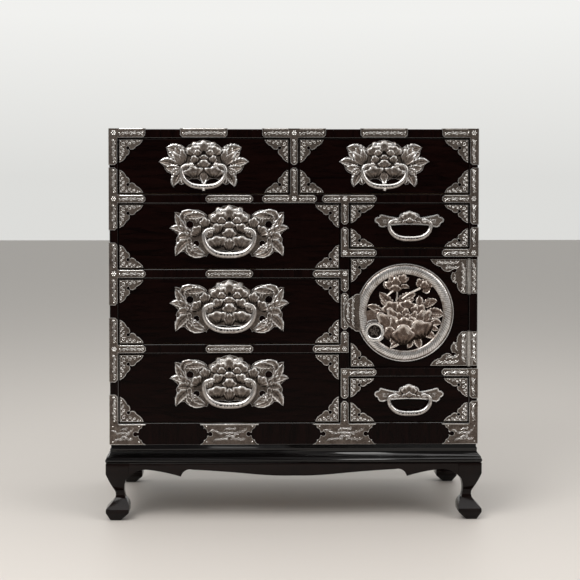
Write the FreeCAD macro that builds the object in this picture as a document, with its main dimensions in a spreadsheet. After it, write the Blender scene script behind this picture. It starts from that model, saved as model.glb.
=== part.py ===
# Lacquered tansu chest: seven drawers and one door in a boarded case, on a stand with cabriole legs.
# Millimetres, +Z up. The front faces -Y and the origin lies on the floor under the middle of the chest.
import FreeCAD, Part
import math
import os
import re
from types import SimpleNamespace
import Sketcher

V = FreeCAD.Vector

SIZES = {
    # Case boards and openings
    "left_column_opening": 542.0,
    "right_column_opening": 294.0,
    "top_opening": 137.0,
    "left_upper_opening": 161.0,
    "left_middle_opening": 162.0,
    "left_lower_opening": 171.0,
    "right_upper_opening": 110.0,
    "right_lower_opening": 113.0,
    "case_depth": 430.0,
    "side_board": 21.0,
    "top_board_thickness": 22.0,
    "shelf_board": 22.0,
    "divider_board": 22.0,
    "bottom_board_thickness": 20.0,
    "base_rail_height": 54.0,
    "base_rail_board": 22.0,
    "back_board": 9.0,
    "back_rabbet": 8.0,
    "housing_depth": 6.0,
    # Drawers
    "front_board": 20.0,
    "front_lip": 9.0,
    "front_edge_round": 1.5,
    "front_side_gap": 1.5,
    "front_height_gap": 2.0,
    "drawer_side_board": 10.0,
    "drawer_back_board": 10.0,
    "drawer_bottom_board": 6.0,
    "drawer_side_drop": 8.0,
    "drawer_rear_gap": 5.0,
    # Flat plates
    "plate_thickness": 2.0,
    "plate_inset": 1.5,
    "plate_chamfer": 6.0,
    "plate_wrap": 20.0,
    "arm_reach": 67.0,
    "band_length": 116.0,
    "base_band_length": 146.0,
    "short_opening_gap": 6.0,
    "tall_opening_gap": 30.0,
    "crossing_gap": 12.5,
    "divider_strip_length": 90.0,
    "divider_strip_gap": 3.0,
    "corner_plate_width": 58.0,
    "corner_plate_inset": 1.8,
    "top_corner_gap": 17.0,
    "left_corner_gap": 41.0,
    "right_corner_gap": 12.5,
    # Pulls
    "pull_plate_thickness": 2.0,
    "relief_gap": 3.0,
    "top_pull_width": 221.0,
    "left_pull_width": 292.0,
    "right_pull_width": 171.0,
    "top_pull_top_margin": 3.5,
    "left_pull_top_margin": 3.0,
    "right_pull_top_margin": 16.0,
    "top_pull_bottom_margin": 15.0,
    "left_pull_bottom_margin": 28.0,
    "left_lower_pull_bottom_margin": 37.5,
    "right_pull_bottom_margin": 49.5,
    "bail_axis_reach": 17.0,
    "bail_end_radius": 3.6,
    "bail_grip_radius": 6.0,
    "bail_bud_radius": 5.0,
    "top_bail_width": 117.0,
    "left_bail_width": 134.0,
    "right_bail_width": 112.0,
    "top_bail_drop": 52.0,
    "left_bail_drop": 62.0,
    "right_bail_drop": 44.0,
    "top_post_spacing": 60.0,
    "left_post_spacing": 86.0,
    "right_post_spacing": 70.0,
    "post_radius": 3.5,
    "eye_radius": 6.5,
    "eye_width": 7.0,
    "eye_gap": 1.5,
    "pivot_clearance": 0.1,
    "post_nut_radius": 7.0,
    "post_nut_height": 5.0,
    # Door, hinges and lock
    "door_board": 20.0,
    "door_latch_gap": 2.5,
    "door_hinge_gap": 2.0,
    "door_corner_width": 57.5,
    "hinge_leaf_reach": 90.0,
    "hinge_leaf_height": 84.0,
    "hinge_leaf_thickness": 2.0,
    "hinge_end_margin": 3.0,
    "hinge_barrel_radius": 4.0,
    "hinge_barrel_gap": 0.4,
    "hinge_pin_radius": 2.0,
    "hinge_pin_head": 2.5,
    "lock_plate_margin": 13.0,
    "lock_ring_height": 5.0,
    "lock_sheet_thickness": 2.5,
    "lock_relief": 6.0,
    "lock_tab_gap": 0.6,
    "lock_knob_radius": 24.0,
    "lock_knob_height": 12.0,
    "lock_knob_gap": 0.4,
    "lock_shaft_radius": 7.0,
    "lock_crank_radius": 6.0,
    "lock_crank_pin_radius": 2.0,
    "lock_crank_thickness": 3.0,
    "lock_slot_clearance": 0.5,
    "lock_bolt_thickness": 4.0,
    "lock_bolt_height": 20.0,
    "lock_bolt_setback": 2.0,
    "lock_bolt_tail": 10.0,
    "lock_case_wall": 2.0,
    "lock_case_rim": 8.0,
    # Stand
    "stand_height": 185.0,
    "stand_overhang": 11.0,
    "moulding_height": 44.0,
    "moulding_width": 60.0,
    "leg_width": 56.0,
    "leg_setback": 0.8,
    "apron_board": 22.0,
    "apron_setback": 1.0,
    "apron_waist": 15.0,
    "apron_cusp": 32.0,
    "cut_overrun": 5.0,
}

# The lock's knob: across and up from the middle of its plate, in shares of the plate's radius.
KNOB_SHARES = (-0.62, -0.377)

PLACES = {
    "case_width": "2 * side_board + left_column_opening + divider_board + right_column_opening",
    "front_y": "(bail_axis_reach + max(bail_grip_radius; eye_radius) - case_depth - stand_overhang) / 2",
    "rear_y": "front_y + case_depth",
    "back_face_y": "rear_y - back_board",
    "case_left_x": "-case_width / 2",
    "case_right_x": "case_width / 2",
    "left_inner_x": "case_left_x + side_board",
    "right_inner_x": "case_right_x - side_board",
    "divider_left_x": "left_inner_x + left_column_opening",
    "divider_right_x": "divider_left_x + divider_board",
    "middle_left_x": "-divider_board / 2",
    "middle_right_x": "divider_board / 2",
    "base_top_z": "stand_height + base_rail_height",
    "left_lower_top_z": "base_top_z + left_lower_opening",
    "left_middle_floor_z": "left_lower_top_z + shelf_board",
    "left_middle_top_z": "left_middle_floor_z + left_middle_opening",
    "left_upper_floor_z": "left_middle_top_z + shelf_board",
    "column_top_z": "left_upper_floor_z + left_upper_opening",
    "top_row_floor_z": "column_top_z + shelf_board",
    "top_row_top_z": "top_row_floor_z + top_opening",
    "case_top_z": "top_row_top_z + top_board_thickness",
    "right_lower_top_z": "base_top_z + right_lower_opening",
    "door_floor_z": "right_lower_top_z + shelf_board",
    "right_upper_floor_z": "column_top_z - right_upper_opening",
    "door_top_z": "right_upper_floor_z - shelf_board",
    "drawer_rear_y": "back_face_y - drawer_rear_gap",
    "relief_height": "bail_axis_reach - bail_grip_radius - pull_plate_thickness - relief_gap",
    "door_left_x": "divider_right_x + door_latch_gap",
    "door_right_x": "right_inner_x - door_hinge_gap",
    "door_low_z": "door_floor_z + front_height_gap",
    "door_high_z": "door_top_z - front_height_gap",
    "hinge_axis_x": "right_inner_x - door_hinge_gap / 2",
    "hinge_axis_y": "front_y - hinge_barrel_radius - hinge_barrel_gap",
    "lock_radius": "min(door_right_x - door_left_x; door_high_z - door_low_z) / 2 - lock_plate_margin",
    "lock_x": "door_left_x + lock_plate_margin + lock_radius",
    "lock_z": "(door_low_z + door_high_z) / 2",
    "knob_x": f"lock_x + {KNOB_SHARES[0]} * lock_radius",
    "knob_z": f"lock_z + {KNOB_SHARES[1]} * lock_radius",
    "door_rear_y": "front_y + door_board",
    "bolt_front_y": "door_rear_y + lock_crank_thickness + lock_slot_clearance",
    "bolt_rear_y": "bolt_front_y + lock_bolt_thickness",
    "lock_case_rear_y": "bolt_rear_y + lock_slot_clearance + lock_case_wall",
    "bolt_travel": "lock_crank_radius * sqrt(2)",
    "bolt_left_x": "door_left_x + lock_bolt_setback",
    "crank_pin_x": "knob_x + bolt_travel / 2",
    "bolt_right_x": "crank_pin_x + lock_crank_pin_radius + lock_bolt_tail",
    "bolt_low_z": "knob_z + (lock_crank_radius + bolt_travel / 2 - lock_bolt_height) / 2",
    "bolt_high_z": "bolt_low_z + lock_bolt_height",
    "lock_case_right_x": "bolt_right_x + lock_slot_clearance + lock_case_wall",
    "stand_low_x": "case_left_x - stand_overhang",
    "stand_low_y": "front_y - stand_overhang",
    "stand_middle_y": "front_y + case_depth / 2",
    "leg_height": "stand_height - moulding_height",
}

# Each drawer: the sides, floor and ceiling of its opening, its kind of pull, and its pull's lower margin.
DRAWERS = {
    "top_left": ("left_inner_x", "middle_left_x", "top_row_floor_z", "top_row_top_z", "top", "top"),
    "top_right": ("middle_right_x", "right_inner_x", "top_row_floor_z", "top_row_top_z", "top", "top"),
    "left_upper": ("left_inner_x", "divider_left_x", "left_upper_floor_z", "column_top_z", "left", "left"),
    "left_middle": (
        "left_inner_x", "divider_left_x", "left_middle_floor_z", "left_middle_top_z", "left", "left",
    ),
    "left_lower": ("left_inner_x", "divider_left_x", "base_top_z", "left_lower_top_z", "left", "left_lower"),
    "right_upper": (
        "divider_right_x", "right_inner_x", "right_upper_floor_z", "column_top_z", "right", "right",
    ),
    "right_lower": ("divider_right_x", "right_inner_x", "base_top_z", "right_lower_top_z", "right", "right"),
}

# Outlines are runs of steps: one point is a straight line to it,
# two are an arc through the first to the second.
# A corner plate, from its corner along the lower edge and up the scalloped side.
CORNER_SHARES = [
    [(0, 0)], [(1, 0)], [(0.90, 0.17), (0.70, 0.30)], [(0.62, 0.41), (0.47, 0.43)], [(0.415, 0.40)],
    [(0.31, 0.31), (0.40, 0.415)], [(0.43, 0.47)], [(0.41, 0.62), (0.30, 0.70)], [(0.17, 0.90), (0, 1)],
    [(0, 0)],
]
# A door hinge leaf, from the barrel along its outer edge and back down the scalloped side.
LEAF_SHARES = [
    [(0, 0)], [(1, 0)], [(0.90, 0.14), (0.72, 0.22)], [(0.62, 0.34), (0.47, 0.36)], [(0.415, 0.33)],
    [(0.31, 0.26), (0.39, 0.37)], [(0.42, 0.43)], [(0.42, 0.60), (0.27, 0.68)], [(0.24, 0.88), (0.12, 1)],
    [(0, 1)], [(0, 0)],
]
# The notched end of a base plate: run inward as a share of the plate's height, and down as a share of it.
NOTCH_SHARES = [
    [(0, 0)], [(0.15, 0.07), (0.21, 0.21)], [(0.33, 0.28), (0.36, 0.42)], [(0.42, 0.435)],
    [(0.62, 0.5), (0.42, 0.565)], [(0.36, 0.58)], [(0.33, 0.72), (0.21, 0.79)], [(0.15, 0.93), (0, 1)],
]
# The right half of each pull plate, across as a share of half its width and down as a share of its height.
PULL_SHARES = {
    "left": [
        [(0, 0)], [(0.131, 0.035), (0.193, 0.102)], [(0.29, 0.15), (0.345, 0.268)],
        [(0.370, 0.232), (0.377, 0.186)],
        [(0.559, 0.085), (0.772, 0.197)], [(0.828, 0.145), (0.917, 0.134)], [(0.875, 0.245), (0.892, 0.362)],
        [(0.95, 0.390), (1, 0.444)], [(0.925, 0.490), (0.851, 0.583)], [(0.888, 0.646), (0.848, 0.748)],
        [(0.90, 0.835), (0.899, 0.985)], [(0.834, 0.915), (0.745, 0.898)], [(0.69, 0.955), (0.593, 0.976)],
        [(0.490, 0.955), (0.379, 1)], [(0.36, 0.945), (0.297, 0.898)], [(0.159, 0.87), (0, 0.898)],
    ],
    "top": [
        [(0, 0)], [(0.135, 0.020), (0.213, 0.067)], [(0.32, 0.095), (0.393, 0.188)],
        [(0.46, 0.118), (0.596, 0.101)],
        [(0.702, 0.154), (0.838, 0.144)], [(0.80, 0.235), (0.766, 0.309)], [(0.75, 0.34), (0.716, 0.362)],
        [(0.87, 0.365), (1, 0.46)], [(0.925, 0.500), (0.872, 0.570)], [(0.80, 0.675), (0.681, 0.705)],
        [(0.712, 0.745), (0.719, 0.792)], [(0.73, 0.90), (0.66, 1)], [(0.63, 0.91), (0.560, 0.886)],
        [(0.525, 0.935), (0.461, 0.940)], [(0.44, 0.885), (0.376, 0.859)], [(0.248, 0.82), (0.121, 0.826)],
        [(0.07, 0.865), (0, 0.886)],
    ],
    "right": [
        [(0, 0)], [(0.10, 0.065), (0.167, 0.153)], [(0.26, 0.21), (0.299, 0.424)],
        [(0.547, 0.345), (0.788, 0.220)],
        [(0.85, 0.27), (0.857, 0.390)], [(0.96, 0.43), (1, 0.576)], [(0.97, 0.70), (0.896, 0.763)],
        [(0.87, 0.93), (0.788, 1)], [(0.72, 1), (0.648, 0.94)], [(0.33, 0.87), (0, 0.854)],
    ],
}
# Raised petals of each pull plate: across, down, radius (share of the height) and rise (share of the relief).
PETAL_SHARES = {
    "left": [
        (0, 0.19, 0.13, 0.7), (0.243, 0.228, 0.09, 0.6), (0.132, 0.315, 0.07, 0.8), (0, 0.378, 0.06, 0.9),
        (0.20, 0.44, 0.08, 0.8), (0, 0.55, 0.11, 1), (0.23, 0.69, 0.11, 0.8), (0, 0.77, 0.06, 0.5),
        (0.38, 0.36, 0.07, 0.6), (0.507, 0.535, 0.085, 0.7),
    ],
    "top": [
        (0, 0.16, 0.12, 0.7), (0.30, 0.24, 0.10, 0.6), (0.14, 0.29, 0.07, 0.8), (0.197, 0.41, 0.07, 0.8),
        (0, 0.38, 0.05, 0.9), (0, 0.51, 0.09, 1), (0.54, 0.45, 0.11, 0.7), (0.245, 0.67, 0.10, 0.8),
        (0, 0.74, 0.07, 0.5),
    ],
    "right": [(0, 0.42, 0.22, 0.5)],
}
# Pierced holes of each pull plate: across, down and radius (share of the height).
HOLE_SHARES = {
    "left": [(0, 0.275, 0.028), (0.66, 0.37, 0.07), (0.55, 0.74, 0.06)],
    "top": [(0, 0.29, 0.03)],
    "right": [],
}
# Height of each bail's axis below the top of its pull plate, as a share of the plate's height.
PIVOT_SHARES = {"left": 0.46, "top": 0.527, "right": 0.586}
# Radius of a bail's side bend, as a share of the height of its loop below the shoulders.
BAIL_BEND_SHARE = 0.6
# Length of each case knuckle, as a share of a hinge's height.
KNUCKLE_SHARE = 0.25
# The round lock plate, in shares of its radius: its ring's section,
# as radius and rise (share of the ring's height).
RING_SHARES = [
    [(0.79, 0)], [(0.79, 0.75)], [(0.80, 1), (0.83, 0.85)], [(0.885, 0.95), (0.94, 0.80)],
    [(0.97, 1.0), (1, 0.6)], [(1, 0)], [(0.79, 0)],
]
# Right-hand edge and outline of the tab that laps over the divider.
TAB_SHARES = [
    [(-0.90, 0.385)], [(-1.02, 0.385)], [(-1.12, 0.37), (-1.15, 0.27)], [(-1.22, 0.20), (-1.19, 0.09)],
    [(-1.23, 0), (-1.19, -0.09)], [(-1.22, -0.20), (-1.15, -0.27)], [(-1.12, -0.37), (-1.02, -0.385)],
    [(-0.90, -0.385)], [(-0.90, 0.385)],
]
# Leaves and stems of the pierced branch: root, tip and breadth.
LEAF_SPRAY_SHARES = [
    (-0.10, 0.05, -0.58, 0.56, 0.24), (0.02, 0.15, 0.08, 0.56, 0.20), (0.20, 0.10, 0.52, 0.62, 0.16),
    (0.25, 0.05, 0.80, 0.22, 0.24), (0.30, -0.20, 0.81, -0.30, 0.24), (0.25, -0.30, 0.66, -0.55, 0.22),
    (0.15, -0.35, 0.36, -0.80, 0.22), (-0.05, -0.40, -0.18, -0.82, 0.26), (-0.25, -0.02, -0.81, 0.14, 0.24),
    (-0.08, 0.10, -0.24, 0.82, 0.14), (0.12, 0.08, 0.48, 0.76, 0.12), (-0.20, -0.30, -0.50, -0.70, 0.30),
]
# Discs under the flower, the buds and the knob: across, up and radius.
GROUND_SHARES = [(0.05, -0.16, 0.44), (-0.20, 0.60, 0.15), (0.39, 0.55, 0.12), (*KNOB_SHARES, 0.235)]
# Raised petals of the lock plate: across, up, radius and rise.
LOCK_PETAL_SHARES = [
    (0.05, -0.20, 0.16, 1), (-0.20, -0.10, 0.15, 0.85), (0.30, -0.10, 0.15, 0.85), (-0.08, 0.08, 0.14, 0.75),
    (0.18, 0.08, 0.14, 0.75), (-0.12, -0.38, 0.15, 0.8), (0.22, -0.38, 0.15, 0.8), (-0.20, 0.60, 0.13, 0.9),
    (0.39, 0.55, 0.10, 0.9),
]
# The stand's moulding: out past the case as a share of the overhang, and down as a share of the height.
MOULDING_SHARES = [
    [(-0.2, 0)], [(-0.2, 0.20)], [(0, 0.20)], [(0, 0.25)], [(0.12, 0.52), (0.60, 0.66)], [(0.78, 0.66)],
    [(0.78, 0.72)], [(1.0, 0.82), (0.85, 0.95)], [(0.72, 0.95)], [(0.72, 1)],
]
# A leg: inward from its outer corner as a share of its width, and up as a share of its height.
LEG_SHARES = [
    [(0, 1)], [(0, 0.82)], [(0.14, 0.68), (0.33, 0.53)], [(0.40, 0.45), (0.37, 0.37)],
    [(0.22, 0.29), (0, 0.20)], [(0, 0.14)], [(0.19, 0)], [(0.64, 0)], [(1, 0.14)], [(1, 0.20)],
    [(0.95, 0.30), (0.83, 0.37)], [(0.77, 0.52), (0.84, 0.68)], [(0.90, 0.73), (1, 0.76)], [(1, 1)], [(0, 1)],
]
# Half an apron's lower edge: from the leg to the middle, across as a share of half its length,
# and down between the waist (0) and the cusp (1).
APRON_SHARES = [
    [(1, 1.05)], [(0.965, 0.40), (0.887, 0)], [(0.79, 0.36), (0.684, 1)], [(0.672, 0.42), (0.615, 0)],
    [(0.42, 0.30), (0.22, 0.72)], [(0.11, 0.88), (0, 0.90)],
]

doc = FreeCAD.newDocument("tansu_chest")
nodes = []


def cited(formula, home=""):
    """The formula with each size and place written as a reference to the sheet that holds it."""
    def cell(match):
        word = match.group()
        if word in SIZES:
            return "Sizes." + word
        if word in PLACES:
            return home + word
        return word
    return re.sub(r"[a-z_]+", cell, formula)


def fill(sheet, entries):
    for row, (alias, entry) in enumerate(entries, 1):
        sheet.set(f"A{row}", alias)
        sheet.set(f"B{row}", entry)
        sheet.setAlias(f"B{row}", alias)
    doc.recompute()


sizes = doc.addObject("Spreadsheet::Sheet", "Sizes")
fill(sizes, [(alias, str(length)) for alias, length in SIZES.items()])
places = doc.addObject("Spreadsheet::Sheet", "Places")
fill(places, [(alias, "=" + cited(formula)) for alias, formula in PLACES.items()])
v = SimpleNamespace(
    **{alias: float(sizes.get(alias)) for alias in SIZES},
    **{alias: float(places.get(alias)) for alias in PLACES},
)


def bind(item, prop, formula):
    item.setExpression(prop, cited(formula, "Places."))


def put(item, x, y, z):
    for axis, formula in zip("xyz", (x, y, z)):
        bind(item, "Placement.Base." + axis, formula)
    return item


def keep(item):
    nodes.append(item)
    return item


def board(name, x, y, z):
    box = doc.addObject("Part::Box", name)
    for side, (start, end) in zip(("Length", "Width", "Height"), (x, y, z)):
        bind(box, side, f"({end}) - ({start})")
    return put(box, x[0], y[0], z[0])


def housed(name, blank, *guests):
    """The blank, cut away where the guests are let into it."""
    tool = guests[0]
    if len(guests) > 1:
        tool = doc.addObject("Part::MultiFuse", name + "_guests")
        tool.Shapes = guests
    cut = doc.addObject("Part::Cut", name)
    cut.Base = blank
    cut.Tool = tool
    return keep(cut)


def piece(name, shapes):
    """One node from finished solids."""
    item = doc.addObject("Part::Feature", name)
    item.Shape = Part.makeCompound(shapes)
    return keep(item)


def run(steps, spot):
    """The edges of an outline, with each of its shares set out by spot."""
    edges = []
    last = spot(*steps[0][0])
    for step in steps[1:]:
        points = [spot(*share) for share in step]
        line = Part.LineSegment(last, points[0]) if len(points) == 1 else Part.Arc(last, *points)
        edges.append(line.toShape())
        last = points[-1]
    return edges


def cut_sheet(edges, thickness):
    """A flat sheet that fills the edges and comes forward by its thickness."""
    return Part.Face(Part.Wire(Part.sortEdges(edges)[0])).extrude(V(0, -thickness, 0))


def mirrored(shape, across):
    return shape.mirror(V(0, 0, 0), across)


def moved(shape, x, y, z):
    return shape.translated(V(x, y, z))


def rod(radius, length, x, y, z, axis):
    return Part.makeCylinder(radius, length, V(x, y, z), axis)


def dome(x, z, radius, rise, base):
    """A low round swelling on a sheet, rooted half way into the sheet's thickness."""
    ball = (radius ** 2 + rise ** 2) / (2 * rise)
    sphere = Part.makeSphere(ball).rotated(V(0, 0, 0), V(0, 0, 1), 90)
    cap = Part.makeBox(2 * ball, rise + base / 2, 2 * ball, V(-ball, -ball, -ball))
    return moved(sphere.common(cap), x, ball - rise - base, z)


# Case
inner_y = ("front_y", "back_face_y")
full_y = ("front_y", "rear_y")
side_z = ("stand_height", "top_row_top_z + housing_depth")
left_blank = board("left_side_blank", ("case_left_x", "left_inner_x"), full_y, side_z)
right_blank = board("right_side_blank", ("right_inner_x", "case_right_x"), full_y, side_z)
top_blank = board("top_board_blank", ("case_left_x", "case_right_x"), full_y, ("top_row_top_z", "case_top_z"))
bottom_blank = board(
    "bottom_board_blank",
    ("left_inner_x - housing_depth", "right_inner_x + housing_depth"),
    ("front_y + base_rail_board", "back_face_y"),
    ("base_top_z - bottom_board_thickness", "base_top_z"),
)
rail_blank = board(
    "base_rail_blank",
    ("left_inner_x", "right_inner_x"),
    ("front_y", "front_y + base_rail_board"),
    ("stand_height", "base_top_z"),
)
back_panel = keep(board(
    "back_panel",
    ("left_inner_x - back_rabbet", "right_inner_x + back_rabbet"),
    ("back_face_y", "rear_y"),
    side_z,
))
column_blank = board(
    "column_divider_blank",
    ("divider_left_x", "divider_right_x"),
    inner_y,
    ("base_top_z - housing_depth", "column_top_z + housing_depth"),
)
top_row_divider = keep(board(
    "top_row_divider",
    ("middle_left_x", "middle_right_x"),
    inner_y,
    ("top_row_floor_z - housing_depth", "top_row_top_z + housing_depth"),
))
whole_x = ("left_inner_x - housing_depth", "right_inner_x + housing_depth")
left_x = ("left_inner_x - housing_depth", "divider_left_x + housing_depth")
right_x = ("divider_right_x - housing_depth", "right_inner_x + housing_depth")
shelf_blank = board("top_row_shelf_blank", whole_x, inner_y, ("column_top_z", "top_row_floor_z"))
left_upper_z = ("left_middle_top_z", "left_upper_floor_z")
left_lower_z = ("left_lower_top_z", "left_middle_floor_z")
left_upper_shelf = keep(board("left_upper_shelf", left_x, inner_y, left_upper_z))
left_lower_shelf = keep(board("left_lower_shelf", left_x, inner_y, left_lower_z))
right_upper_z = ("door_top_z", "right_upper_floor_z")
right_lower_z = ("right_lower_top_z", "door_floor_z")
right_upper_shelf = keep(board("right_upper_shelf", right_x, inner_y, right_upper_z))
right_lower_shelf = keep(board("right_lower_shelf", right_x, inner_y, right_lower_z))
bolt_mortise = board(
    "bolt_mortise",
    ("bolt_left_x - bolt_travel - lock_slot_clearance", "divider_right_x + cut_overrun"),
    ("bolt_front_y - lock_slot_clearance", "bolt_rear_y + lock_slot_clearance"),
    ("bolt_low_z - lock_slot_clearance", "bolt_high_z + lock_slot_clearance"),
)
housed("left_side", left_blank, shelf_blank, left_upper_shelf, left_lower_shelf, bottom_blank, back_panel)
housed("right_side", right_blank, shelf_blank, right_upper_shelf, right_lower_shelf, bottom_blank, back_panel)
housed("top_board", top_blank, left_blank, right_blank, top_row_divider, back_panel)
housed("bottom_board", bottom_blank, column_blank)
housed("base_rail", rail_blank, column_blank)
housed("top_row_shelf", shelf_blank, column_blank, top_row_divider)
housed(
    "column_divider", column_blank,
    left_upper_shelf, left_lower_shelf, right_upper_shelf, right_lower_shelf, bolt_mortise,
)


# Lacquered panels
def sketch_on_front(body, name):
    sketch = body.newObject("Sketcher::SketchObject", name)
    plane = [item for item in body.Origin.OriginFeatures if item.Role == "XZ_Plane"][0]
    sketch.AttachmentSupport = (plane, [""])
    sketch.MapMode = "FlatFace"
    return sketch


def dimension(sketch, name, constraint, formula):
    sketch.renameConstraint(sketch.addConstraint(constraint), name)
    bind(sketch, "Constraints." + name, formula)


def rectangle(body, name, left, low, width, height):
    """A dimensioned rectangle on a body's front plane, set in from the body's origin."""
    sketch = sketch_on_front(body, name)
    corners = [V(1, 1, 0), V(2, 1, 0), V(2, 2, 0), V(1, 2, 0)]
    for start, end in zip(corners, corners[1:] + corners[:1]):
        sketch.addGeometry(Part.LineSegment(start, end))
    for edge in range(4):
        sketch.addConstraint(Sketcher.Constraint("Coincident", edge, 2, (edge + 1) % 4, 1))
        sketch.addConstraint(Sketcher.Constraint("Vertical" if edge % 2 else "Horizontal", edge))
    if left is None:
        sketch.addConstraint(Sketcher.Constraint("Coincident", 0, 1, -1, 1))
    else:
        dimension(sketch, "left", Sketcher.Constraint("DistanceX", -1, 1, 0, 1, 1), left)
        dimension(sketch, "low", Sketcher.Constraint("DistanceY", -1, 1, 0, 1, 1), low)
    dimension(sketch, "width", Sketcher.Constraint("DistanceX", 0, 1, 0, 2, 1), width)
    dimension(sketch, "height", Sketcher.Constraint("DistanceY", 1, 1, 1, 2, 1), height)
    return sketch


def pad(body, name, sketch, length, backward):
    feature = body.newObject("PartDesign::Pad", name)
    feature.Profile = sketch
    feature.Reversed = backward
    bind(feature, "Length", length)
    doc.recompute()
    return feature


def round_front(body, name):
    """Rounds the edges of a body's front face."""
    shape = body.Tip.Shape
    front = shape.BoundBox.YMin
    edges = [
        f"Edge{index}" for index, edge in enumerate(shape.Edges, 1)
        if max(abs(corner.Y - front) for corner in edge.Vertexes) < Part.Precision.confusion()
    ]
    base = body.Tip
    feature = body.newObject("PartDesign::Fillet", name)
    feature.Base = (base, edges)
    bind(feature, "Radius", "front_edge_round")


def bore(body, name, holes):
    """Holes right through a body, each given by the x, z and radius of its circle."""
    sketch = sketch_on_front(body, name + "_circles")
    for index, (x, z, radius) in enumerate(holes):
        sketch.addGeometry(Part.Circle(V(1, 1, 0), V(0, 0, 1), 1))
        dimension(sketch, f"across{index}", Sketcher.Constraint("DistanceX", -1, 1, index, 3, 1), x)
        dimension(sketch, f"up{index}", Sketcher.Constraint("DistanceY", -1, 1, index, 3, 1), z)
        dimension(sketch, f"radius{index}", Sketcher.Constraint("Radius", index, 1), radius)
    feature = body.newObject("PartDesign::Pocket", name)
    feature.Profile = sketch
    feature.SideType = "Symmetric"
    feature.Type = "ThroughAll"


# Drawers
def bail_path(width, drop, spacing):
    """The right half of a bail's middle line about its axis: pin, shoulder, side bend and bottom."""
    half = width / 2 - v.bail_end_radius
    stub = spacing / 2 - v.eye_width / 2 - v.eye_gap
    shoulder = spacing / 2 + v.eye_width / 2 + v.eye_gap
    turn = half - shoulder
    depth = drop - turn
    bend = BAIL_BEND_SHARE * depth
    sweep = ((half - bend) ** 2 + depth ** 2 - bend ** 2) / (2 * (depth - bend))
    bend_middle = V(half - bend, 0, -turn)
    sweep_middle = V(0, 0, sweep - drop)
    outward = (bend_middle - sweep_middle).normalize()
    join = bend_middle + outward * bend
    low = (outward + V(0, 0, -1)).normalize()
    side = (outward + V(1, 0, 0)).normalize()
    diagonal = V(1, 0, 1).normalize()
    return [
        Part.LineSegment(V(stub, 0, 0), V(shoulder, 0, 0)),
        Part.Arc(V(shoulder, 0, 0), V(shoulder, 0, -turn) + diagonal * turn, V(half, 0, -turn)),
        Part.Arc(V(half, 0, -turn), bend_middle + side * bend, join),
        Part.Arc(join, sweep_middle + low * sweep, V(0, 0, -drop)),
    ]


def bail(kind):
    """A bail about its axis: thin at the pins, thick at the grip."""
    drop = getattr(v, kind + "_bail_drop")
    width = getattr(v, kind + "_bail_width")
    spacing = getattr(v, kind + "_post_spacing")
    right = [line.toShape() for line in bail_path(width, drop, spacing)]
    spine = Part.Wire(right)
    thin = Part.Wire(Part.makeCircle(v.bail_end_radius, right[0].Vertexes[0].Point, V(1, 0, 0)))
    thick = Part.Wire(Part.makeCircle(v.bail_grip_radius, V(0, 0, -drop), V(1, 0, 0)))
    shoulder_end = right[1].Vertexes[1].Point
    hip = Part.Wire(Part.makeCircle(v.bail_end_radius, shoulder_end, V(0, 0, 1)))
    half = spine.makePipeShell([thin, hip, thick], True, False)
    whole = half.fuse(mirrored(half, V(1, 0, 0))).removeSplitter()
    if kind == "top":
        whole = whole.fuse(Part.makeSphere(v.bail_bud_radius, V(0, 0, -drop - v.bail_grip_radius)))
    return whole


def corner_plate(width, height, thickness):
    spot = lambda across, up: V(across * width, 0, up * height)
    return cut_sheet(run(CORNER_SHARES, spot), thickness)


def four_corners(width, height, gap):
    """The corner plates of a front, about its middle."""
    rise = height / 2 - v.corner_plate_inset
    plate = corner_plate(v.corner_plate_width, rise - gap / 2, v.plate_thickness)
    low_left = moved(plate, v.corner_plate_inset - width / 2, 0, -rise)
    low_right = mirrored(low_left, V(1, 0, 0))
    upper = [mirrored(low_left, V(0, 0, 1)), mirrored(low_right, V(0, 0, 1))]
    return [low_left, low_right] + upper


def pull_plate(kind, height, pivot):
    """An embossed pull plate, hung from the middle of its top edge."""
    half = getattr(v, kind + "_pull_width") / 2
    right = run(PULL_SHARES[kind], lambda across, down: V(across * half, 0, -down * height))
    left = run(PULL_SHARES[kind], lambda across, down: V(-across * half, 0, -down * height))
    plate = cut_sheet(right + left, v.pull_plate_thickness)
    petals = []
    for across, down, radius, rise in PETAL_SHARES[kind]:
        for side in {across, -across}:
            petals.append(dome(
                side * half, -down * height, radius * height, rise * v.relief_height, v.pull_plate_thickness,
            ))
    holes = [(side * half, -down * height, radius * height)
             for across, down, radius in HOLE_SHARES[kind] for side in {across, -across}]
    post = getattr(v, kind + "_post_spacing") / 2
    holes += [(side * post, -pivot, v.post_radius) for side in (-1, 1)]
    depth = v.bail_axis_reach + v.cut_overrun
    drills = [rod(radius, depth, x, v.cut_overrun, z, V(0, -1, 0)) for x, z, radius in holes]
    return plate.fuse(petals).cut(drills)


def eye_post(x, z):
    """An eye that carries one end of a bail, with its shank through the front."""
    eye = rod(v.eye_radius, v.eye_width, x - v.eye_width / 2, -v.bail_axis_reach, z, V(1, 0, 0))
    length = v.bail_axis_reach + v.front_board + v.post_nut_height
    shank = rod(v.post_radius, length, x, -v.bail_axis_reach, z, V(0, 1, 0))
    hole = rod(
        v.bail_end_radius + v.pivot_clearance, v.eye_width + 2 * v.cut_overrun,
        x - v.eye_width / 2 - v.cut_overrun, -v.bail_axis_reach, z, V(1, 0, 0),
    )
    return eye.fuse(shank).cut(hole)


def nut(x, z):
    corners = [V(math.cos(turn * math.pi / 3), 0, math.sin(turn * math.pi / 3)) for turn in range(7)]
    rim = Part.makePolygon([V(x, v.front_board, z) + corner * v.post_nut_radius for corner in corners])
    block = Part.Face(rim).extrude(V(0, v.post_nut_height, 0))
    return block.cut(rod(v.post_radius, v.post_nut_height, x, v.front_board, z, V(0, 1, 0)))


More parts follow.
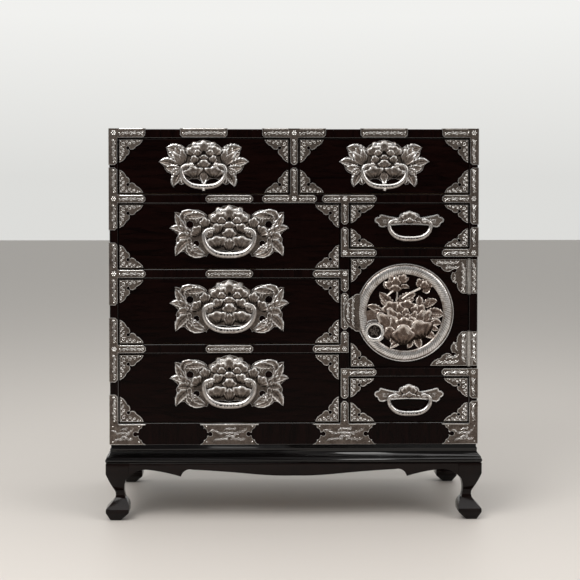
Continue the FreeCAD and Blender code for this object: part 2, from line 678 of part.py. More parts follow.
def drawer(name, left, right, floor, ceiling, kind, margin):
    x_low = f"{left} + front_side_gap"
    x_high = f"{right} - front_side_gap"
    z_low = f"{floor} + front_height_gap"
    z_high = f"{ceiling} - front_height_gap"
    width = f"{right} - {left} - 2 * front_side_gap"
    height = f"{ceiling} - {floor} - 2 * front_height_gap"
    plate_height = f"({height} - {kind}_pull_top_margin - {margin}_pull_bottom_margin)"
    pivot = f"({PIVOT_SHARES[kind]} * {plate_height})"

    body = keep(doc.addObject("PartDesign::Body", name + "_front"))
    face = rectangle(body, name + "_face", None, None, width, height)
    pad(body, name + "_lip", face, "front_lip", False)
    tongue = rectangle(
        body, name + "_tongue_face", "drawer_side_board", "drawer_bottom_board - front_height_gap",
        f"{width} - 2 * drawer_side_board", f"{height} - drawer_bottom_board + front_height_gap",
    )
    pad(body, name + "_tongue", tongue, "front_board - front_lip", True)
    round_front(body, name + "_rounding")
    post_z = f"{height} - {kind}_pull_top_margin - {pivot}"
    holes = [(f"({width}) / 2 {sign} {kind}_post_spacing / 2", post_z, "post_radius") for sign in "-+"]
    bore(body, name + "_post_holes", holes)
    put(body, x_low, "front_y + front_lip", z_low)

    box_y = ("front_y + front_lip", "drawer_rear_y")
    side_z = (f"{floor} + drawer_bottom_board", f"{z_high} - drawer_side_drop")
    inner_x = (f"{x_low} + drawer_side_board", f"{x_high} - drawer_side_board")
    rear_y = ("drawer_rear_y - drawer_back_board", "drawer_rear_y")
    box = keep(doc.addObject("Part::Compound", name + "_box"))
    box.Links = [
        board(name + "_left_side", (x_low, inner_x[0]), box_y, side_z),
        board(name + "_right_side", (inner_x[1], x_high), box_y, side_z),
        board(name + "_back", inner_x, rear_y, side_z),
        board(name + "_bottom", (x_low, x_high), box_y, (floor, f"{floor} + drawer_bottom_board")),
    ]

    front_width = getattr(v, right) - getattr(v, left) - 2 * v.front_side_gap
    front_height = getattr(v, ceiling) - getattr(v, floor) - 2 * v.front_height_gap
    top_margin = getattr(v, kind + "_pull_top_margin")
    sheet_height = front_height - top_margin - getattr(v, margin + "_pull_bottom_margin")
    drop = PIVOT_SHARES[kind] * sheet_height
    plate_top = front_height / 2 - top_margin
    post = getattr(v, kind + "_post_spacing") / 2
    axis_z = plate_top - drop
    metal = four_corners(front_width, front_height, getattr(v, kind + "_corner_gap"))
    metal.append(moved(pull_plate(kind, sheet_height, drop), 0, 0, plate_top))
    metal += [eye_post(side * post, axis_z) for side in (-1, 1)]
    metal += [nut(side * post, axis_z) for side in (-1, 1)]
    middle_x = f"({left} + {right}) / 2"
    put(piece(name + "_fittings", metal), middle_x, "front_y", f"({floor} + {ceiling}) / 2")
    put(
        piece(name + "_bail", [bail(kind)]),
        middle_x, "front_y - bail_axis_reach", f"{z_high} - {kind}_pull_top_margin - {pivot}",
    )


for drawer_name, opening in DRAWERS.items():
    drawer(drawer_name, *opening)


# Plates on the case's front edges
def strip(x_low, x_high, z_low, z_high, cut_corners):
    """A flat bar of plate at the front plane, with the corners named by compass points cut off."""
    chamfer = v.plate_chamfer
    points = []
    for name, x, z, before, after in (
        ("SW", x_low, z_low, V(0, 0, 1), V(1, 0, 0)),
        ("SE", x_high, z_low, V(-1, 0, 0), V(0, 0, 1)),
        ("NE", x_high, z_high, V(0, 0, -1), V(-1, 0, 0)),
        ("NW", x_low, z_high, V(1, 0, 0), V(0, 0, -1)),
    ):
        corner = V(x, 0, z)
        points += [corner + before * chamfer, corner + after * chamfer] if name in cut_corners else [corner]
    return Part.Face(Part.makePolygon(points + points[:1])).extrude(V(0, -v.plate_thickness, 0))


def base_band(x_low, x_high, left_end, right_end):
    """A deep plate on the base rail, with the ends that are free cut to notched scallops."""
    low = v.stand_height + v.plate_inset
    high = v.base_top_z - v.plate_inset
    rise = high - low
    edges = []
    for x, inward, free in ((x_low, 1, left_end), (x_high, -1, right_end)):
        if free:
            spot = lambda across, down: V(x + inward * across * rise, 0, high - down * rise)
            edges += run(NOTCH_SHARES, spot)
        else:
            edges.append(Part.makeLine(V(x, 0, high), V(x, 0, low)))
    edges += [Part.makeLine(V(x_low, 0, z), V(x_high, 0, z)) for z in (low, high)]
    return cut_sheet(edges, v.plate_thickness)


def join(parts):
    return parts[0].fuse(parts[1:]).removeSplitter()


def onto_left(bar):
    """Folds a bar round the left edge of the case."""
    return moved(bar.rotated(V(0, 0, 0), V(0, 0, 1), -90), v.case_left_x, 0, 0)


def onto_top(bar):
    """Folds a bar over the top edge of the case."""
    return moved(bar.rotated(V(0, 0, 0), V(1, 0, 0), -90), 0, 0, v.case_top_z)


def middle(floor, ceiling, gap):
    """Where two arms stop short of each other in an opening: the lower arm's end, then the upper's."""
    half_way = (floor + ceiling) / 2
    return half_way - gap / 2, half_way + gap / 2


top_break = middle(v.top_row_floor_z, v.top_row_top_z, v.short_opening_gap)
left_breaks = [
    middle(v.left_upper_floor_z, v.column_top_z, v.tall_opening_gap),
    middle(v.left_middle_floor_z, v.left_middle_top_z, v.tall_opening_gap),
    middle(v.base_top_z, v.left_lower_top_z, v.tall_opening_gap),
]
upper_break = middle(v.right_upper_floor_z, v.column_top_z, v.short_opening_gap)
lower_break = middle(v.base_top_z, v.right_lower_top_z, v.short_opening_gap)
edge_x = v.case_left_x - v.plate_thickness
edge_z = v.case_top_z + v.plate_thickness
stile_x = v.left_inner_x - v.plate_inset
arm_x = v.left_inner_x + v.arm_reach
top_low = v.top_row_top_z + v.plate_inset


def outer_stile(tees, last_break):
    """The plates of the left stile, folded round its edge; each tee has its arms' heights and its rail's."""
    plates = [join([
        strip(edge_x, stile_x, top_break[1], edge_z, {"SE"}),
        strip(edge_x, arm_x, top_low, edge_z, {"SE"}),
        onto_left(strip(-v.plate_wrap, 0, top_break[1], edge_z, {"SW"})),
        onto_top(strip(edge_x, arm_x, 0, v.plate_wrap, {"NE"})),
    ])]
    for low, high, rail_low, rail_high, corners in tees:
        plates.append(join([
            strip(edge_x, stile_x, low, high, {"NE", "SE"} & corners),
            strip(edge_x, arm_x, rail_low + v.plate_inset, rail_high - v.plate_inset, {"NE", "SE"}),
            onto_left(strip(-v.plate_wrap, 0, low, high, {"NW", "SW"} & corners)),
        ]))
    low = v.stand_height + v.plate_inset
    plates.append(join([
        strip(edge_x, stile_x, low, last_break[0], {"NE"}),
        base_band(edge_x, arm_x, False, True),
        onto_left(strip(-v.plate_wrap, 0, low, last_break[0], {"NW"})),
    ]))
    return plates


every_corner = {"NE", "SE", "NW", "SW"}
left_plates = outer_stile(
    [
        (left_breaks[0][1], top_break[0], v.column_top_z, v.top_row_floor_z, every_corner),
        (left_breaks[1][1], left_breaks[0][0], v.left_middle_top_z, v.left_upper_floor_z, every_corner),
        (left_breaks[2][1], left_breaks[1][0], v.left_lower_top_z, v.left_middle_floor_z, every_corner),
    ],
    left_breaks[2],
)
right_plates = outer_stile(
    [
        (upper_break[1], top_break[0], v.column_top_z, v.top_row_floor_z, every_corner),
        (v.door_top_z + v.plate_inset, upper_break[0], v.door_top_z, v.right_upper_floor_z, {"NE", "NW"}),
        (lower_break[1], v.door_floor_z - v.plate_inset, v.right_lower_top_z, v.door_floor_z, {"SE", "SW"}),
    ],
    lower_break,
)
put(piece("left_stile_plates", left_plates), "0", "front_y", "0")
put(piece("right_stile_plates", [mirrored(plate, V(1, 0, 0)) for plate in right_plates]), "0", "front_y", "0")

column_low = v.divider_left_x + v.plate_inset
column_high = v.divider_right_x - v.plate_inset
middle_high = v.middle_right_x - v.plate_inset
crossing = middle(v.middle_right_x, v.divider_left_x, v.crossing_gap)
strip_low, strip_high = middle(v.left_middle_floor_z, v.left_middle_top_z, v.divider_strip_length)
left_arm_x = v.divider_left_x - v.arm_reach
right_arm_x = v.divider_right_x + v.arm_reach
middle_arm_x = v.middle_right_x + v.arm_reach


def rail_arm(x_low, x_high, rail_low, rail_high, corners):
    return strip(x_low, x_high, rail_low + v.plate_inset, rail_high - v.plate_inset, corners)


divider_plates = [
    join([
        strip(-middle_high, middle_high, top_break[1], edge_z, {"SE", "SW"}),
        strip(-middle_arm_x, middle_arm_x, top_low, edge_z, {"SE", "SW"}),
        onto_top(strip(-middle_arm_x, middle_arm_x, 0, v.plate_wrap, {"NE", "NW"})),
    ]),
    join([
        strip(-middle_high, middle_high, v.column_top_z + v.plate_inset, top_break[0], {"NE", "NW"}),
        rail_arm(-middle_arm_x, crossing[0], v.column_top_z, v.top_row_floor_z, every_corner),
    ]),
    join([
        strip(column_low, column_high, upper_break[1], v.top_row_floor_z - v.plate_inset, {"SE", "SW"}),
        rail_arm(crossing[1], right_arm_x, v.column_top_z, v.top_row_floor_z, every_corner),
    ]),
    join([
        strip(column_low, column_high, v.door_top_z + v.plate_inset, upper_break[0], {"NE", "NW"}),
        rail_arm(column_low, right_arm_x, v.door_top_z, v.right_upper_floor_z, {"NE", "SE"}),
    ]),
    join([
        strip(
            column_low, column_high,
            strip_high + v.divider_strip_gap, v.left_upper_floor_z - v.plate_inset, {"SE", "SW"},
        ),
        rail_arm(left_arm_x, column_high, v.left_middle_top_z, v.left_upper_floor_z, {"NW", "SW"}),
    ]),
    strip(column_low, column_high, strip_low, strip_high, every_corner),
    join([
        strip(
            column_low, column_high,
            v.left_lower_top_z + v.plate_inset, strip_low - v.divider_strip_gap, {"NE", "NW"},
        ),
        rail_arm(left_arm_x, column_high, v.left_lower_top_z, v.left_middle_floor_z, {"NW", "SW"}),
    ]),
    join([
        strip(column_low, column_high, lower_break[1], v.door_floor_z - v.plate_inset, {"SE", "SW"}),
        rail_arm(column_low, right_arm_x, v.right_lower_top_z, v.door_floor_z, {"NE", "SE"}),
    ]),
    join([
        strip(column_low, column_high, v.stand_height + v.plate_inset, lower_break[0], {"NE", "NW"}),
        base_band(left_arm_x, right_arm_x, True, True),
    ]),
]
put(piece("divider_plates", divider_plates), "0", "front_y", "0")

half_band = v.band_length / 2
left_middle_x = (v.left_inner_x + v.divider_left_x) / 2
band_x = (left_middle_x - half_band, left_middle_x + half_band)
top_middle_x = (v.left_inner_x + v.middle_left_x) / 2
band_plates = [
    join([
        strip(x - half_band, x + half_band, top_low, edge_z, {"SE", "SW"}),
        onto_top(strip(x - half_band, x + half_band, 0, v.plate_wrap, {"NE", "NW"})),
    ])
    for x in (top_middle_x, -top_middle_x)
]
for rail_low, rail_high in (
    (v.column_top_z, v.top_row_floor_z),
    (v.left_middle_top_z, v.left_upper_floor_z),
    (v.left_lower_top_z, v.left_middle_floor_z),
):
    band_plates.append(rail_arm(*band_x, rail_low, rail_high, every_corner))
half_base = v.base_band_length / 2
band_plates.append(base_band(left_middle_x - half_base, left_middle_x + half_base, True, True))
put(piece("rail_band_plates", band_plates), "0", "front_y", "0")

# Door and hinges
door = keep(doc.addObject("PartDesign::Body", "door_panel"))
pad(
    door, "door_blank",
    rectangle(door, "door_face", None, None, "door_right_x - door_left_x", "door_high_z - door_low_z"),
    "door_board", False,
)
round_front(door, "door_rounding")
bore(door, "door_shaft_hole", [
    ("knob_x - door_left_x", "knob_z - door_low_z", "lock_shaft_radius + pivot_clearance"),
])
put(door, "door_left_x", "door_rear_y", "door_low_z")

door_low_corner = moved(
    corner_plate(v.door_corner_width, v.door_corner_width, v.plate_thickness),
    v.corner_plate_inset, 0, v.corner_plate_inset - (v.door_high_z - v.door_low_z) / 2,
)
put(
    piece("door_corner_plates", [door_low_corner, mirrored(door_low_corner, V(0, 0, 1))]),
    "door_left_x", "front_y", "(door_low_z + door_high_z) / 2",
)

# Hinge leaves are drawn about the lower end of their barrel,
# which stands in front of the gap beside the door.
barrel_y = -v.hinge_barrel_radius - v.hinge_barrel_gap
leaf_edge = v.hinge_barrel_radius + v.hinge_barrel_gap
knuckle = KNUCKLE_SHARE * v.hinge_leaf_height
bore_rod = rod(
    v.hinge_pin_radius + v.pivot_clearance, v.hinge_leaf_height + 2 * v.cut_overrun,
    0, barrel_y, -v.cut_overrun, V(0, 0, 1),
)


def knuckle_tube(low, high, side):
    """One knuckle of the barrel and the tongue that carries it to its leaf, on the side given."""
    tube = rod(v.hinge_barrel_radius, high - low, 0, barrel_y, low, V(0, 0, 1))
    tongue = Part.makeBox(
        leaf_edge, v.hinge_leaf_thickness, high - low,
        V(0 if side > 0 else -leaf_edge, -v.hinge_leaf_thickness - v.hinge_barrel_gap, low),
    )
    root = Part.makeBox(
        leaf_edge, v.hinge_leaf_thickness + v.hinge_barrel_gap, high - low,
        V(leaf_edge if side > 0 else -2 * leaf_edge, -v.hinge_leaf_thickness - v.hinge_barrel_gap, low),
    )
    return tube.fuse([tongue, root])


def door_leaf():
    spot = lambda across, up: V(-leaf_edge - across * v.hinge_leaf_reach, 0, up * v.hinge_leaf_height)
    plate = cut_sheet(run(LEAF_SHARES, spot), v.hinge_leaf_thickness)
    tube = knuckle_tube(knuckle + v.hinge_barrel_gap, v.hinge_leaf_height - knuckle - v.hinge_barrel_gap, -1)
    return plate.fuse(tube).cut(bore_rod)


def case_leaf():
    width = v.case_right_x - v.hinge_axis_x - v.plate_inset - leaf_edge
    plate = Part.makeBox(
        width, v.hinge_leaf_thickness, v.hinge_leaf_height, V(leaf_edge, -v.hinge_leaf_thickness, 0),
    )
    low = knuckle_tube(0, knuckle, 1)
    high = knuckle_tube(v.hinge_leaf_height - knuckle, v.hinge_leaf_height, 1)
    return plate.fuse([low, high]).cut(bore_rod)


def pin():
    shaft = rod(v.hinge_pin_radius, v.hinge_leaf_height, 0, barrel_y, 0, V(0, 0, 1))
    heads = [
        rod(v.hinge_barrel_radius, v.hinge_pin_head, 0, barrel_y, v.hinge_leaf_height, V(0, 0, 1)),
        rod(v.hinge_barrel_radius, v.hinge_pin_head, 0, barrel_y, 0, V(0, 0, -1)),
    ]
    return shaft.fuse(heads)


hinge_rise = v.door_high_z - v.door_low_z - v.hinge_end_margin


def both_hinges(name, shape):
    """A hinge part at the foot of the door and, turned over, at its head."""
    low = moved(shape, 0, 0, v.hinge_end_margin)
    high = moved(mirrored(shape, V(0, 0, 1)), 0, 0, hinge_rise)
    put(piece(name, [low, high]), "hinge_axis_x", "front_y", "door_low_z")


both_hinges("hinge_door_leaves", door_leaf())
both_hinges("hinge_case_leaves", case_leaf())
both_hinges("hinge_pins", pin())


# Lock
def leaf_shape(root_x, root_z, tip_x, tip_z, breadth):
    """A leaf blade between its root and tip, bounded by two arcs."""
    root = V(root_x, 0, root_z) * v.lock_radius
    tip = V(tip_x, 0, tip_z) * v.lock_radius
    across = (tip - root).cross(V(0, 1, 0)).normalize() * (breadth * v.lock_radius / 2)
    half_way = (root + tip) / 2
    edges = [Part.Arc(root, half_way + side, tip).toShape() for side in (across, -across)]
    return cut_sheet(edges, v.lock_sheet_thickness)


def lock_plate():
    radius = v.lock_radius
    section = run(RING_SHARES, lambda out, rise: V(out * radius, -rise * v.lock_ring_height, 0))
    ring = Part.Face(Part.Wire(section)).revolve(V(0, 0, 0), V(0, 1, 0), 360)
    tab_outline = run(TAB_SHARES, lambda across, up: V(across * radius, 0, up * radius))
    tab = moved(cut_sheet(tab_outline, v.lock_sheet_thickness), 0, -v.plate_thickness - v.lock_tab_gap, 0)
    sheets = [leaf_shape(*shares) for shares in LEAF_SPRAY_SHARES]
    for across, up, size in GROUND_SHARES:
        sheet = rod(size * radius, v.lock_sheet_thickness, across * radius, 0, up * radius, V(0, -1, 0))
        sheets.append(sheet)
    petals = [
        dome(across * radius, up * radius, size * radius, rise * v.lock_relief, v.lock_sheet_thickness)
        for across, up, size, rise in LOCK_PETAL_SHARES
    ]
    well = rod(
        v.lock_knob_radius + v.lock_knob_gap, v.lock_knob_height,
        v.knob_x - v.lock_x, -v.lock_sheet_thickness, v.knob_z - v.lock_z, V(0, -1, 0),
    )
    hole = rod(
        v.lock_shaft_radius + v.pivot_clearance, 2 * v.cut_overrun,
        v.knob_x - v.lock_x, v.cut_overrun, v.knob_z - v.lock_z, V(0, -1, 0),
    )
    return ring.fuse([tab] + sheets + petals).cut([well, hole])


put(piece("lock_plate", [lock_plate()]), "lock_x", "front_y", "lock_z")


def lock_knob():
    """The knob's cup, its shaft through the door, and the crank with its pin behind."""
    back = -v.lock_sheet_thickness - v.lock_knob_gap
    cup = rod(v.lock_knob_radius, v.lock_knob_height, 0, back, 0, V(0, -1, 0))
    recess = Part.makeCone(
        v.lock_knob_radius / 2, v.lock_knob_radius * 3 / 4, v.lock_knob_height,
        V(0, back - v.lock_knob_height / 3, 0), V(0, -1, 0),
    )
    shaft = rod(v.lock_shaft_radius, v.door_board - back, 0, back, 0, V(0, 1, 0))
    crank_reach = v.lock_crank_radius + 2 * v.lock_crank_pin_radius
    crank = rod(crank_reach, v.lock_crank_thickness, 0, v.door_board, 0, V(0, 1, 0))
    crank_pin = rod(
        v.lock_crank_pin_radius, v.lock_crank_thickness + v.lock_bolt_thickness,
        v.bolt_travel / 2, v.door_board, v.bolt_travel / 2, V(0, 1, 0),
    )
    return cup.cut(recess).fuse([shaft, crank, crank_pin])


put(piece("lock_knob", [lock_knob()]), "knob_x", "front_y", "knob_z")

bolt_blank = board(
    "lock_bolt_blank",
    ("bolt_left_x", "bolt_right_x"),
    ("bolt_front_y", "bolt_rear_y"),
    ("bolt_low_z", "bolt_high_z"),
)
slot = board(
    "lock_bolt_slot",
    (
        "crank_pin_x - lock_crank_pin_radius - lock_slot_clearance",
        "crank_pin_x + lock_crank_pin_radius + lock_slot_clearance",
    ),
    ("bolt_front_y - cut_overrun", "bolt_rear_y + cut_overrun"),
    (
        "knob_z + bolt_travel / 2 - lock_crank_pin_radius - lock_slot_clearance",
        "knob_z + lock_crank_radius + lock_crank_pin_radius + lock_slot_clearance",
    ),
)
housed("lock_bolt", bolt_blank, slot)
lock_case_blank = board(
    "lock_case_blank",
    ("bolt_left_x", "lock_case_right_x"),
    ("door_rear_y", "lock_case_rear_y"),
    ("bolt_low_z - lock_case_rim", "bolt_high_z + lock_case_rim"),
)
lock_cavity = board(
    "lock_cavity",
    ("bolt_left_x + lock_case_wall", "bolt_right_x + lock_slot_clearance"),
    ("door_rear_y - cut_overrun", "bolt_rear_y + lock_slot_clearance"),
    ("bolt_low_z - lock_case_rim + lock_case_wall", "bolt_high_z + lock_case_rim - lock_case_wall"),
)
bolt_way = board(
    "bolt_way",
    ("bolt_left_x - cut_overrun", "bolt_right_x"),
    ("bolt_front_y - lock_slot_clearance", "bolt_rear_y + lock_slot_clearance"),
    ("bolt_low_z - lock_slot_clearance", "bolt_high_z + lock_slot_clearance"),
)
housed("lock_case", lock_case_blank, lock_cavity, bolt_way)


# Stand
def moulding_rails():
    """Four mitred rails about the middle of the stand's top."""
    half_x = v.case_width / 2
    half_y = v.case_depth / 2
    reach_x = half_x + v.stand_overhang
    reach_y = half_y + v.stand_overhang
    inner = v.stand_overhang - v.moulding_width
    rails = []
    for edge, length, other in ((half_y, reach_x, reach_y), (half_x, reach_y, reach_x)):
        spot = lambda out, down: V(-length, -edge - out * v.stand_overhang, -down * v.moulding_height)
        edges = run(MOULDING_SHARES, spot)
        first = spot(*MOULDING_SHARES[0][0])
        last = spot(*MOULDING_SHARES[-1][0])
        corners = [last, V(-length, -edge - inner, last.z), V(-length, -edge - inner, 0), first]
        edges += [Part.makeLine(start, end) for start, end in zip(corners, corners[1:])]
        blank = Part.Face(Part.Wire(Part.sortEdges(edges)[0])).extrude(V(2 * length, 0, 0))
        width = v.moulding_width
        corners = [(-length, -other), (length, -other)]
        corners += [(length - width, width - other), (width - length, width - other)]
        trapezium = Part.makePolygon([V(x, y, -v.moulding_height) for x, y in corners + corners[:1]])
        rails.append(blank.common(Part.Face(trapezium).extrude(V(0, 0, v.moulding_height))))
    front = rails[0]
    left = mirrored(rails[1].rotated(V(0, 0, 0), V(0, 0, 1), 90), V(1, 0, 0))
    return [front, mirrored(front, V(0, 1, 0)), left, mirrored(left, V(1, 0, 0))]


put(piece("stand_moulding", moulding_rails()), "0", "stand_middle_y", "stand_height")

outer_x = v.case_width / 2 + v.stand_overhang - v.leg_setback
outer_y = v.case_depth / 2 + v.stand_overhang - v.leg_setback


def cabriole_leg():
    """A leg shaped on its front and on its side, from its outer corner inward."""
    front = Part.Wire(run(LEG_SHARES, lambda inward, up: V(inward * v.leg_width, 0, up * v.leg_height)))
    side = Part.Wire(run(LEG_SHARES, lambda inward, up: V(0, inward * v.leg_width, up * v.leg_height)))
    front_cut = Part.Face(front).extrude(V(0, v.leg_width, 0))
    return front_cut.common(Part.Face(side).extrude(V(v.leg_width, 0, 0)))


leg = moved(cabriole_leg(), -outer_x, -outer_y, 0)
for name, shape in (
    ("front_left_leg", leg),
    ("front_right_leg", mirrored(leg, V(1, 0, 0))),
    ("back_left_leg", mirrored(leg, V(0, 1, 0))),
    ("back_right_leg", mirrored(mirrored(leg, V(1, 0, 0)), V(0, 1, 0))),
):
    put(piece(name, [shape]), "0", "stand_middle_y", "0")


def apron(half_length):
    """An apron with a waved lower edge, about the middle of its top edge."""
    def depth(share):
        return -v.apron_waist - share * (v.apron_cusp - v.apron_waist)
    edges = run(APRON_SHARES, lambda across, down: V(across * half_length, 0, depth(down)))
    edges += run(APRON_SHARES, lambda across, down: V(-across * half_length, 0, depth(down)))
    end = depth(APRON_SHARES[0][0][1])
    corners = [V(-half_length, 0, end), V(-half_length, 0, 0), V(half_length, 0, 0), V(half_length, 0, end)]
    edges += [Part.makeLine(first, last) for first, last in zip(corners, corners[1:])]
    return Part.Face(Part.Wire(Part.sortEdges(edges)[0])).extrude(V(0, v.apron_board, 0))


front_apron = moved(apron(outer_x - v.leg_width), 0, v.apron_setback - outer_y, 0)
side_apron = apron(outer_y - v.leg_width).rotated(V(0, 0, 0), V(0, 0, 1), 90)
right_apron = moved(side_apron, outer_x - v.apron_setback, 0, 0)
aprons = [front_apron, mirrored(front_apron, V(0, 1, 0)), right_apron, mirrored(right_apron, V(1, 0, 0))]
put(piece("stand_aprons", aprons), "0", "stand_middle_y", "leg_height")

doc.recompute()
os.makedirs("parts", exist_ok=True)
for item in doc.Objects:
    if "Invalid" in item.State or "Error" in item.State:
        raise ValueError("does not compute: " + item.Label)
for node in nodes:
    if node.Shape.isNull() or not node.Shape.isValid():
        raise ValueError("not a sound shape: " + node.Label)
for node in nodes:
    node.Shape.exportStep("parts/" + node.Label + ".step")
print(len(nodes), "nodes written")
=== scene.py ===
import bpy
import bmesh
import math
from bmesh.types import BMEdge, BMFace, BMVert
from mathutils import Matrix, Vector


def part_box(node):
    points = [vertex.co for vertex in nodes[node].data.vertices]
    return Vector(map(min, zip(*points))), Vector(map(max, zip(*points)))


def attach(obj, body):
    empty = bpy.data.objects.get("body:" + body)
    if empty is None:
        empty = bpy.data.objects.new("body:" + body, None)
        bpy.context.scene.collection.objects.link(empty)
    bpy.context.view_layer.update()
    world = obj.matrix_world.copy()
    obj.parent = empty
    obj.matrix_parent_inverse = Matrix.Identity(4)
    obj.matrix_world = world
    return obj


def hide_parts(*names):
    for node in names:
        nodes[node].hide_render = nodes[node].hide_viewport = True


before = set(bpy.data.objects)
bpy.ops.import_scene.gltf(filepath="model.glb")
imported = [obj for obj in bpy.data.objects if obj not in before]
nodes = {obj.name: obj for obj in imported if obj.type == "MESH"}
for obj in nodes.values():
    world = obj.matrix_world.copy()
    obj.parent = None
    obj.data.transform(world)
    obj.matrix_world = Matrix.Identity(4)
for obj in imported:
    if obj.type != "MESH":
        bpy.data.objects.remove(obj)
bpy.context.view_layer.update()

scene = bpy.context.scene
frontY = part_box("door_panel")[0].y       # plane of the drawer fronts
mm = 0.001
weldGap = 3e-6        # joins the loose triangles of a CAD node
meetGap = 1e-6        # joins what a drawn shape leaves double
print("frame loaded:", len(nodes), "nodes")


# Node trees
def feed(tree, node, inputs):
    # a number or a colour is set on its socket, anything else is linked to it
    for key, value in inputs.items():
        socket = node.inputs[key]
        if isinstance(value, tuple):
            socket.default_value = (*value, 1)
        elif isinstance(value, (int, float)):
            socket.default_value = value
        else:
            tree.links.new(value, socket)


def addNode(tree, kind, inputs=None, **settings):
    node = tree.nodes.new(kind)
    for key, value in settings.items():
        setattr(node, key, value)
    feed(tree, node, inputs or {})
    return node


def newGroup(name, inputs, outputs):
    tree = bpy.data.node_groups.new(name, "ShaderNodeTree")
    for way, sockets in (("INPUT", inputs), ("OUTPUT", outputs)):
        for label, kind in sockets.items():
            tree.interface.new_socket(label, in_out=way, socket_type="NodeSocket" + kind)
    return tree, addNode(tree, "NodeGroupInput").outputs, addNode(tree, "NodeGroupOutput")


def useGroup(tree, group, inputs):
    return addNode(tree, "ShaderNodeGroup", inputs, node_tree=group).outputs


def noise(tree, vector, scale, detail, distortion=0.0):
    inputs = {"Vector": vector, "Scale": scale, "Detail": detail, "Distortion": distortion}
    return addNode(tree, "ShaderNodeTexNoise", inputs).outputs["Fac"]


def remap(tree, value, low, high, newLow=0, newHigh=1):
    inputs = dict(enumerate((value, low, high, newLow, newHigh)))
    return addNode(tree, "ShaderNodeMapRange", inputs).outputs[0]


def maths(tree, operation, *values):
    return addNode(tree, "ShaderNodeMath", dict(enumerate(values)), operation=operation).outputs[0]


def plus(tree, first, second, share=1.0):
    return maths(tree, "MULTIPLY_ADD", second, share, first)


def mixColour(tree, factor, first, second):
    inputs = {"Factor": factor, 6: first, 7: second}
    return addNode(tree, "ShaderNodeMix", inputs, data_type="RGBA").outputs[2]


surface = {"Colour": "Color", "Roughness": "Float", "Height": "Float"}

# Brushed lacquer: broad grain under the film and fine ripples on it
grainInputs = {"Vector": "Vector", "Dark": "Color", "Light": "Color"}
tree, given, result = newGroup("lacquerGrain", grainInputs, surface)
broad = noise(tree, given["Vector"], 9.0, 5.0, 1.2)
fine = noise(tree, given["Vector"], 60.0, 3.0, 0.3)
streak = remap(tree, plus(tree, broad, fine, 0.4), 0.5, 0.95)
feed(tree, result, {
    "Colour": mixColour(tree, streak, given["Dark"], given["Light"]),
    "Roughness": remap(tree, fine, 0.3, 0.7, 0.10, 0.17),
    "Height": plus(tree, broad, fine, 0.3),
})
grainGroup = tree

# Darkened metal: bright where it is high or rubbed, brown between, brown-black in the hollows; painted
# highlight and painted shade drawn into the rise show the same way
patinaInputs = {
    "Vector": "Vector", "Wear and painted light": "Float", "Hollow": "Color", "Brown": "Color", "Rubbed": "Color",
    "Rough low": "Float", "Rough high": "Float",
}
tree, given, result = newGroup("patina", patinaInputs, surface)
mottle = noise(tree, given["Vector"], 55.0, 4.0, 0.4)
chisel = noise(tree, given["Vector"], 240.0, 2.0, 0.8)
pits = noise(tree, given["Vector"], 700.0, 2.0)
shine = plus(tree, given["Wear and painted light"], remap(tree, mottle, 0.3, 0.7, -0.10, 0.10))
shine = plus(tree, shine, remap(tree, chisel, 0.3, 0.7, -0.12, 0.12))
shine = remap(tree, shine, 0, 1)
lowTone = mixColour(tree, remap(tree, shine, 0, 0.5), given["Hollow"], given["Brown"])
roughInputs = {0: shine, 2: given["Rough high"], 3: given["Rough low"]}
roughMix = addNode(tree, "ShaderNodeMix", roughInputs, data_type="FLOAT")
feed(tree, result, {
    "Colour": mixColour(tree, remap(tree, shine, 0.5, 1), lowTone, given["Rubbed"]),
    "Roughness": plus(tree, roughMix.outputs[0], remap(tree, pits, 0.3, 0.7, -0.05, 0.05)),
    "Height": plus(tree, pits, mottle, 0.6),
})
patinaGroup = tree

# Ground punched all over with small round dots
tree, given, result = newGroup("punchedGround", {"Vector": "Vector", "Scale": "Float"}, {"Dot": "Float"})
cells = addNode(tree, "ShaderNodeTexVoronoi", {"Vector": given["Vector"], "Scale": given["Scale"]})
feed(tree, result, {"Dot": remap(tree, cells.outputs["Distance"], 0.15, 0.6)})
punchGroup = tree


def newMaterial(name):
    material = bpy.data.materials.new(name)
    material.use_nodes = True
    tree = material.node_tree
    spot = addNode(tree, "ShaderNodeTexCoord").outputs["Object"]
    return material, tree, tree.nodes["Principled BSDF"], spot


def stretched(tree, vector, scale):
    node = addNode(tree, "ShaderNodeMapping", {"Vector": vector})
    node.inputs["Scale"].default_value = scale
    return node.outputs["Vector"]


def addBump(tree, shader, height, strength, distance):
    node = addNode(tree, "ShaderNodeBump", {"Strength": strength, "Distance": distance, "Height": height})
    feed(tree, shader, {"Normal": node.outputs["Normal"]})


lacquerLooks = {
    "front": {
        "dark": (0.0016, 0.0005, 0.0004), "light": (0.0058, 0.0018, 0.0014), "stretch": (1.2, 9, 9),
        "specular": 0.05, "ripple": 0.03,
    },
    "case": {
        "dark": (0.0018, 0.0006, 0.0005), "light": (0.0062, 0.0020, 0.0016), "stretch": (7, 7, 1.2),
        "specular": 0.06, "ripple": 0.03,
    },
    "stand": {
        "dark": (0.0026, 0.0011, 0.0009), "light": (0.0066, 0.0028, 0.0021), "stretch": (2, 6, 6),
        "specular": 0.17, "ripple": 0.012,
    },
    "moulding": {
        "dark": (0.0012, 0.0009, 0.0009), "light": (0.0030, 0.0022, 0.0022), "stretch": (2, 6, 6),
        "specular": 0.42, "ripple": 0.05,
    },
    "arris": {      # the rounded edges of the boards: a lighter copy of the lacquer as a painted highlight along them, and much glossier
        "dark": (0.0030, 0.0016, 0.0015), "light": (0.0080, 0.0040, 0.0034), "stretch": (2, 6, 6),
        "specular": 1.0, "ripple": 0.05,
    },
}


